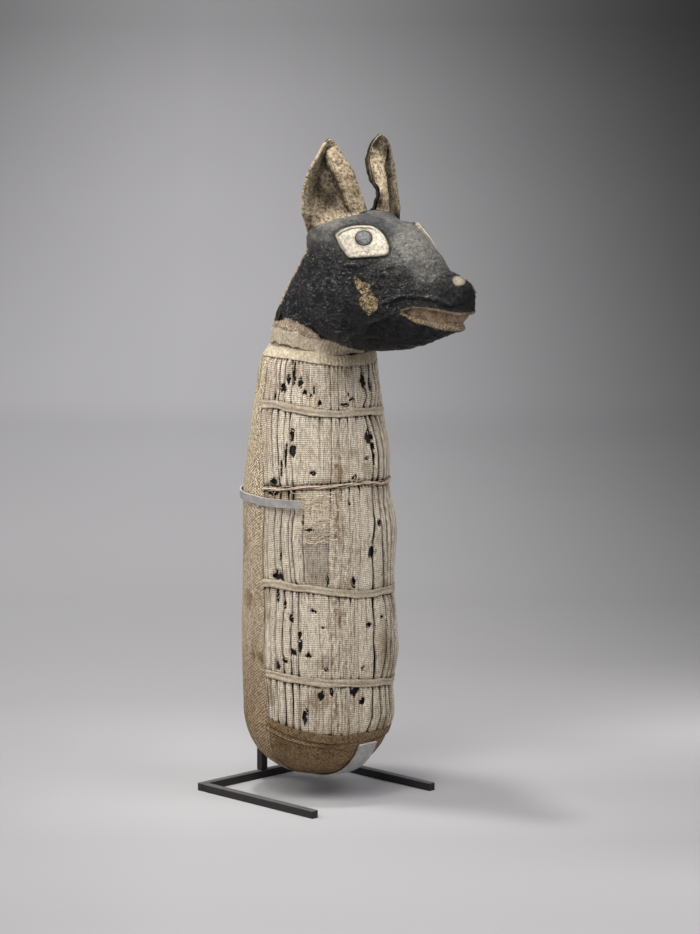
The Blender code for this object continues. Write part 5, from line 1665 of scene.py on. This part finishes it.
def make_skull():
    points, quads = head_grid(-8.6 * MM, 96, 72)
    x, y, z = points.reshape(-1, 3).T
    laps = np.abs((((y * 0.8 + z * 0.5) / 0.012) % 1) - 0.5) * 2
    middle = np.array([0.0, head_y(HEAD_LENGTH / 2), BODY_TOP + 0.055])
    outward = points.reshape(-1, 3) - middle
    outward /= np.maximum(np.linalg.norm(outward, axis=1), 1e-6)[:, None]
    points = points.reshape(-1, 3) - outward * (0.8 * MM * ease(laps))[:, None]
    skull = mesh_object("bandaged_skull", points, quads, BONE)
    stand_for("wrapped_skull")


# Ears

EAR_INNER = (0.0021, 0.0407)
EAR_OUTER = (0.0472, 0.0214)
EAR_BASE_HEIGHT = 0.0960
EAR_TIP = (0.0270, 0.0410, 0.1665)
EAR_CUPS = {"right": 0.0125, "left": 0.0045}
EAR_GRID = (120, 90)
FLAP_GRID = (96, 36)
EAR_THICKNESS = 0.0018
FLAP_THICKNESS = 0.0011

# Pixels up the outer rim, up the inner rim, up the free edge of the folded flap and along the foot
EAR_SIGHTS = {
    "right": ([(305.7, 226), (303.6, 216.8), (303.9, 201.5), (305.4, 186.2), (311.3, 170.9), (319.7, 154.8),
               (325.2, 144.5), (328.2, 140.6), (330.7, 139.4)],
              [(366.2, 211.5), (363.5, 201.5), (359.6, 192.3), (355.8, 181.6), (352.5, 170.9), (347.3, 163.6),
               (341.3, 155.1), (337.8, 147.7), (334.8, 142), (332.5, 139.6)],
              [(350.9, 213.5), (345.5, 205.3), (344, 198.4), (340.9, 190.8), (337.8, 183.1), (334, 174.7),
               (328.5, 166.3), (327, 158), (327, 151)],
              [(305.7, 227), (309, 228.3), (318, 225.2), (328.7, 222.2), (340.9, 218.3), (351.6, 216),
               (366.2, 211.5)]),
    "left": ([(401.4, 220), (401.2, 207.6), (399.3, 193.9), (397.6, 178.6), (395.5, 163.3), (392.8, 150.2),
              (390.3, 142.5), (386.8, 137), (382.3, 135)],
             [(374.8, 212.5), (376.6, 202.3), (378.6, 196.2), (377.9, 188.5), (372.3, 180.1), (370.1, 167.8),
              (368.3, 159.4), (370, 151.8), (372.6, 143.9), (376.5, 137.6), (380.5, 135)],
             [(388.3, 212), (386.4, 201.5), (386.4, 190), (385.3, 178.6), (383, 167.8), (386.3, 155.6),
              (387, 147)],
             [(401.4, 220.5), (396, 218.5), (389.9, 215.5), (381, 213.5), (372.5, 212.8)])}

OUTER_RIM, INNER_RIM, FREE_EDGE, FOOT_LINE = range(4)


def ear_plane(side):
    inner = np.array([side * EAR_INNER[0], head_y(EAR_INNER[1]), BODY_TOP + EAR_BASE_HEIGHT])
    outer = np.array([side * EAR_OUTER[0], head_y(EAR_OUTER[1]), BODY_TOP + EAR_BASE_HEIGHT])
    tip = np.array([side * EAR_TIP[0], head_y(EAR_TIP[1]), BODY_TOP + EAR_TIP[2]])
    facing = np.cross(outer - inner, tip - inner)
    return (inner + outer) / 2, facing / np.linalg.norm(facing) * (-1 if facing[1] > 0 else 1)


def even_sights(sights, count):
    """Pixels evenly spaced along a line of them."""
    sights = np.array(sights, float)
    place = np.concatenate([[0], np.cumsum(np.linalg.norm(np.diff(sights, axis=0), axis=1))])
    even = np.linspace(0, place[-1], count)
    return np.stack([np.interp(even, place, sights[:, k]) for k in (0, 1)], 1)


def to_pixels(points, pixels):
    """Places moved across the picture, at the same depth, to where they are seen at pixels."""
    shift = (pixels - pixel_of(points)) * PIXEL
    return points + RIGHT * shift[:, :1] - UP * shift[:, 1:]


def rim_points(side, kind, count, cup):
    """A line of the ear: in the right ear's plane, moved forward by the cup, where the photograph shows it.
    The left ear's line is its mirror image, moved across the picture to its own pixels."""
    base, facing = ear_plane(-1)
    rim = []
    for t, (x, y) in zip(np.linspace(0, 1, count), even_sights(EAR_SIGHTS["right"][kind], count)):
        forward = cup * (1 - t ** 2.5)
        ray = pixel_ray(x, y)
        way = ((base + facing * forward - EYE_POINT) @ facing) / (ray @ facing)
        rim.append(EYE_POINT + ray * way)
    if side < 0:
        return np.array(rim)
    return to_pixels(np.array(rim) * [-1, 1, 1], even_sights(EAR_SIGHTS["left"][kind], count))


def foot_places(tree, side, count):
    """Where the ear's foot meets the head."""
    right = EAR_SIGHTS["right"][FOOT_LINE]
    line = closed_curve(right + right[-2:0:-1], 2 * count - 2)[:count]
    hits = np.array([head_hit(tree, x, y)[0] for x, y in line])
    if side < 0:
        return hits
    seen = to_pixels(hits * [-1, 1, 1], even_sights(EAR_SIGHTS["left"][FOOT_LINE], count))
    return np.array([list(tree.find_nearest(Vector(place))[0]) for place in seen])


def soft_line(values, turns=3):
    """The same line with its corners eased."""
    for _ in range(turns):
        eased = (values[:-2] + 2 * values[1:-1] + values[2:]) / 4
        values = np.concatenate([values[:1], eased, values[-1:]])
    return values


# Painted shade in the ears' hollows, by pixel and half size
EAR_SHADES = {"right": [(330, 199, 9, 10), (323, 163, 3.5, 7), (318, 185, 4, 14), (326, 158, 2, 7)],
              "left": [(388, 178, 3, 20), (388, 152, 2.5, 8), (389, 200, 3, 13)]}
LEFT_FOOT_SHADES = [(378, 207, 8, 6), (400, 217, 6, 6)]
LEFT_FLAP_SHADES = [(379, 206, 8, 5), (399, 217, 5, 5)]
LEFT_TIP_STAIN = (386, 140, 6, 6)


def shades(points, spots):
    """How much dark or stained spots cover places."""
    return sum(near_pixel(points, *spot) for spot in spots)


def make_ears(head):
    tree = surface_tree(head)
    for side, word in SIDES:
        rows, columns = EAR_GRID
        slit = EAR_SIGHTS[word][FREE_EDGE]
        facing = ear_plane(side)[1]
        cup = EAR_CUPS[word]
        edge_out = soft_line(rim_points(side, OUTER_RIM, rows, cup))
        edge_in = soft_line(rim_points(side, INNER_RIM, rows, cup))
        upward = np.linspace(0, 1, rows)[:, None]
        sideways = np.linspace(-1, 1, columns)[None, :]
        width = np.maximum(1 - upward ** 2.5, 0.0)
        middle, half = (edge_out + edge_in) / 2, (edge_in - edge_out) / 2
        points = middle[:, None] + half[:, None] * sideways[..., None]
        roll = 1.6 * MM * ease((np.abs(sideways) - 0.86) / 0.14)
        bent = sideways + 0.62 - 0.2 * bump(upward - 0.3, 0.1)
        crease = 1.6 * MM * bump(bent, 0.07) * bump(upward - 0.35, 0.3)
        lumps = 1.3 * MM * fractal(sideways * 2.2 + 0 * upward, upward * 3.5, side * 2.0, 131, 3)
        lumps = lumps + 0.35 * MM * fractal(sideways * 12, upward * 22, side * 1.0, 133, 2)
        lip = 1.3 * MM * bump(upward - 0.035, 0.03)
        depth = cup * width * (np.abs(sideways) ** 2.4 - 1) * ease(upward / 0.26) - crease + lip
        depth = depth + lumps * (1 - upward ** 6)
        points = points + facing * (depth - roll * 0.5)[..., None]
        hits = foot_places(tree, side, columns)
        blend = (1 - ease(upward / 0.12))[..., None]
        points = points * (1 - blend) + hits[None] * blend
        inward = np.array([-side * 3.5 * MM, -1.0 * MM, -3.0 * MM])
        sunk = hits[None] + inward * np.linspace(1, 0.2, 5)[:, None, None]
        points = np.concatenate([sunk, points])
        upward = np.concatenate([np.linspace(-0.06, -0.01, 5)[:, None], upward])
        sideways = sideways * np.ones_like(upward)
        rag = 0.6 * MM * noise(upward * 30, sideways * 0.5, side * 4.0, 135) * np.abs(sideways) ** 4
        rag = rag * np.clip(1 - upward ** 6, 0, 1)
        outward = half[len(half) // 3]
        points = points + (rag * np.sign(sideways))[..., None] * outward / np.linalg.norm(outward)
        shade = shades(points, EAR_SHADES[word])
        # Painted light and shade: the rims are lighter and the hollows darker, the right ear's foot has a lit
        # lip, the line under the flap's free edge is darker and the tips are lighter
        rim = ease((np.abs(sideways) - 0.70) / 0.14)
        tone = 0.66 + 0.34 * rim + 0.45 * (1 - ease((upward - 0.02) / 0.1)) * (side < 0)
        tone = tone - (0.5 if side < 0 else 0.3) * np.clip(shade, 0, 1)
        tone = tone - 0.9 * ease((sideways - 0.9) / 0.08) * (side > 0)
        flat = pixel_of(points.reshape(-1, 3))
        tone = tone - 0.6 * bump(line_distance(flat, slit), 1.6).reshape(tone.shape)
        tone = tone - 0.9 * shades(points, LEFT_FOOT_SHADES) * (side > 0)
        tone = np.clip(tone + 0.25 * ease((upward - 0.9) / 0.1) - 0.1 * (side > 0), 0.07, 1.25)
        stain = np.clip(0.15 + 0.4 * fractal(sideways * 3, upward * 5, side * 3.0, 137, 3) - 0.2 * rim
                        + 0.4 * near_pixel(points, *LEFT_TIP_STAIN), 0, 1)
        ear_cloth(f"linen_ear_{word}", side, points, tone, stain, EAR_THICKNESS, f"ear_{word}")
        make_flap(side, word, edge_in, facing, cup)


def ear_cloth(name, side, points, tone, stain, thickness, node):
    rows, columns = points.shape[:2]
    axis = points[rows // 3, -1] - points[rows // 3, 0]
    u, v = points @ axis / np.linalg.norm(axis) / MM, points[..., 2] / MM
    place = np.stack([u * 0.7 + v * 0.7, v * 0.7 - u * 0.7, 0 * u + 5], -1)
    quads = grid_quads(rows, columns)
    if side < 0:
        quads = quads[:, ::-1]
    ear = cloth_object(name, points, quads[:, ::-1], EAR_CLOTH, place, tone, stain)
    thicken(ear, thickness, offset=-1.0)
    stand_for(node)


def make_flap(side, word, edge_in, facing, cup):
    """The inner edge of the ear, folded over towards its hollow."""
    rows, columns = FLAP_GRID
    share = np.linspace(0.03, 0.93, rows)
    number = share * (len(edge_in) - 1)
    start = np.stack([np.interp(number, np.arange(len(edge_in)), edge_in[:, k]) for k in range(3)], -1)
    free = soft_line(rim_points(side, FREE_EDGE, rows, cup + 2.0 * MM), 4)
    across = np.linspace(0, 1, columns)[None, :]
    upward = share[:, None]
    points = start[:, None] * (1 - across[..., None]) + free[:, None] * across[..., None]
    arch = 3.2 * MM * np.sin(math.pi * across ** 0.7) * (1 - upward ** 3) + 0.7 * MM
    curl = -2.2 * MM * ease((across - 0.86) / 0.14)
    wobble = 0.9 * MM * fractal(across * 2.5, upward * 6, side * 2.0, 141, 3)
    small = 0.3 * MM * fractal(across * 7, upward * 25, side * 2.0, 142, 2)
    points = points + facing * (arch + curl + wobble + small)[..., None]
    torn = bump(across - 0.02, 0.09) * ease(noise(upward * 14, 0.5, side * 5.0, 143) * 2 + 0.7)
    edge = ease((across - 0.86) / 0.1)
    # Painted light and shade: lighter across the fold's arch and on the left flap's lit fold, darker at the
    # curled free edge
    tone = 0.95 + 0.2 * bump(across - 0.55, 0.25) - 0.7 * edge - 0.8 * torn * (side > 0)
    painted_light = 0.42 - 0.25 * ease((0.5 - upward) / 0.15) - ease((upward - 0.66) / 0.2)
    tone = tone + (painted_light - 0.9 * np.clip(shades(points, LEFT_FLAP_SHADES), 0, 1)) * (side > 0)
    tone = np.maximum(tone, 0.08)
    stain = np.clip(0.1 + 0.35 * fractal(across * 3, upward * 8, side * 1.0, 145, 3), 0, 1)
    ear_cloth(f"linen_ear_flap_{word}", side, points, tone, stain, FLAP_THICKNESS, f"ear_flap_{word}")


# Loose threads

TORN_THREADS = 150
THREADS_BY_HOLE = 3
THREAD_TONE = 1.5


def make_threads():
    """Frayed threads that hang from the torn cloth and from the holes' edges."""
    draw = np.random.default_rng(17)
    starts = []
    for _ in range(TORN_THREADS):
        x = 302 + 26 * draw.uniform(0, 1) ** 1.3 + 14 * draw.uniform(0, 1) ** 3
        y = 491 + 52 * draw.uniform(0, 1) ** 1.3
        starts.append((*seen_on_body(x, y), draw.uniform(4, 13) * MM))
    for angle, z, wide, tall in HOLE_PLACES:
        for _ in range(THREADS_BY_HOLE):
            phi = draw.uniform(0, 2 * math.pi)
            start = angle + math.degrees(wide * math.cos(phi) / BODY_RADIUS)
            starts.append((start, z + tall * math.sin(phi), draw.uniform(2, 5) * MM))
    count, ring = 9, 4
    clouds, faces = [], []
    turn = full_turn(ring)
    for number, (angle, z, length) in enumerate(starts):
        heading = draw.uniform(-1.2, 1.2) - math.pi / 2
        bend = draw.uniform(-2.2, 2.2)
        t = np.linspace(0, 1, count)
        heads = heading + bend * t
        du = np.cumsum(np.cos(heads)) * length / count
        dz = np.cumsum(np.sin(heads)) * length / count
        arch = 0.5 * MM + draw.uniform(0.5, 1.6) * MM * np.sin(np.pi * t)
        thick = draw.uniform(0.15, 0.28) * MM
        spot = angle + np.degrees(du / BODY_RADIUS)
        height = z + dz
        points = on_body(spot[:, None], run_at(height[:, None] + thick * np.cos(turn)),
                         arch[:, None] + thick * np.sin(turn))
        quads = grid_quads(count, ring, closed_columns=True)[:, ::-1]
        caps = np.array([[3, 2, 1, 0], [(count - 1) * ring + k for k in range(4)]])
        faces.append(np.concatenate([quads, caps]) + number * count * ring)
        clouds.append(points.reshape(-1, 3))
    points, quads = np.concatenate(clouds), np.concatenate(faces)
    threads = cloth_object("frayed_threads", points, quads, TIE_CLOTH, points / MM,
                           np.full(len(points), THREAD_TONE), np.zeros(len(points)))


# Mount

def dress_mount():
    for name in ("base_rear_bar", "base_right_arm", "base_left_arm", "upright_post", "cradle_bracket"):
        NODES[name].material_slots[0].material = BAR_METAL
    for name in ("cradle_strip", "retaining_arm_right", "retaining_arm_left"):
        NODES[name].material_slots[0].material = STRIP_METAL
    NODES["palm_rib"].material_slots[0].material = REED


# Stage and light

# The backdrop's painted light and shade by row of the picture, with a soft shadow of the object painted on
# the floor: level, share left at its left edge and loss to the right
BACKDROP_ROWS = [(20, 1.13, 0.63, 2.0), (100, 1.45, 0.70, 1.75), (200, 1.67, 0.77, 1.49),
                 (300, 1.76, 0.83, 1.30), (400, 1.82, 0.89, 1.12), (500, 1.40, 0.93, 0.85),
                 (600, 1.01, 0.95, 0.57), (660, 0.95, 0.95, 0.34), (700, 0.97, 0.94, 0.04),
                 (730, 1.10, 0.90, -0.06), (760, 1.22, 0.84, 0.14), (810, 1.16, 0.82, 0.18),
                 (840, 1.04, 0.87, 0.16), (880, 1.00, 0.89, 0.0), (920, 0.95, 0.89, 0.0)]
BACKDROP_MIDDLE = 194
SWEEP_GRID = (260, 90)
SWEEP_WIDTH = 9.0
SWEEP_NEAR = 5.5
SWEEP_FAR = 3.2
SWEEP_BEND = 1.2
SWEEP_TURN = 1.07


def backdrop_shade(points):
    rows = np.array(BACKDROP_ROWS)
    x, y = pixel_of(points).T
    level, left, loss = (np.interp(y, rows[:, 0], rows[:, k]) for k in (1, 2, 3))
    t = np.clip((x - BACKDROP_MIDDLE) / 460, 0, 1.3)
    away = np.clip((BACKDROP_MIDDLE - x) / BACKDROP_MIDDLE, 0, 1.3)
    tone = level * np.exp(-loss * t ** 2) * (1 - (1 - left) * away ** 1.3)
    return np.where((EYE_POINT - points) @ BACK > 0.5, tone, 0.93)


def make_stage():
    """A low paper sweep: it stays below the line of sight of the views from behind."""
    rows, columns = SWEEP_GRID
    side = np.linspace(-0.5, 0.5, columns + 1) * SWEEP_WIDTH
    flat_end = SWEEP_FAR - SWEEP_BEND
    ahead = np.linspace(-SWEEP_NEAR, flat_end + SWEEP_BEND * SWEEP_TURN, rows + 1)
    turn = np.maximum(ahead - flat_end, 0.0) / SWEEP_BEND
    forward = np.minimum(ahead, flat_end) + SWEEP_BEND * np.sin(turn)
    floor_way = np.array([-BACK[0], -BACK[1], 0.0]) / math.hypot(BACK[0], BACK[1])
    points = (side[None, :, None] * RIGHT + forward[:, None, None] * floor_way
              + (SWEEP_BEND * (1 - np.cos(turn)))[:, None, None] * np.array([0.0, 0.0, 1.0]))
    points = points.reshape(-1, 3) + (0.0, AXIS_Y, 0.0)
    m = Material("pale_paper")
    paper = m.mix(m.noise(3.0), (0.366, 0.3575, 0.365), (0.384, 0.3755, 0.383))
    m.finish(m.mix(1.0, paper, m.grey("shade"), "MULTIPLY"), 0.9)
    quads = grid_quads(rows + 1, columns + 1)
    shades = {"shade": backdrop_shade(points)}
    mesh_object("studio_sweep", points, quads, m.material, body=None, fields=shades)


STUDIO_GREY = (0.93, 0.95, 1.0, 1.0)
STUDIO_LEVEL = 0.22
LIGHT_AIM = 0.27
WARM = (1.0, 0.985, 0.96)
# Name, place from the aimed spot by right, up and towards the camera, size, power, colour
LAMPS = [("top_light", (-0.3, 2.3, 0.2), 0.28, 28.0, WARM),
         ("key", (-0.58, 1.8, 1.27), 0.5, 9.0, WARM),
         ("key_box", (-0.58, 1.6, 1.5), 1.8, 37.0, WARM),
         ("left_box", (-2.1, 1.4, 0.1), 1.2, 20.0, (1.0, 1.0, 1.0)),
         ("right_box", (1.7, 1.6, 0.9), 1.6, 24.0, (0.97, 0.985, 1.0))]


def area_light(name, offset, size, power, colour):
    light = bpy.data.lights.new(name, "AREA")
    light.shape = "DISK"
    light.size = size
    light.energy = power
    light.color = colour
    lamp = add_object(name, light)
    middle = Vector((0.0, AXIS_Y, LIGHT_AIM))
    right, up, ahead = offset
    lamp.location = middle + Vector(RIGHT) * right + Vector((0, 0, up)) + Vector(BACK) * ahead
    lamp.rotation_euler = (middle - lamp.location).to_track_quat("-Z", "Y").to_euler()


def make_light():
    world = bpy.data.worlds.new("studio")
    bpy.context.scene.world = world
    world.use_nodes = True
    background = world.node_tree.nodes["Background"]
    background.inputs[0].default_value = STUDIO_GREY
    background.inputs[1].default_value = STUDIO_LEVEL
    for lamp in LAMPS:
        area_light(*lamp)
    bpy.context.scene.view_settings.view_transform = "Standard"


make_camera()
dress_mount()
make_inner_cloth()
make_strips()
make_ties()
make_cord_tie()
make_shroud()
make_base_cap()
make_neck_bands()
HEAD = make_head()
make_face(HEAD)
make_mouth()
make_skull()
make_ears(HEAD)
make_threads()
make_stage()
make_light()
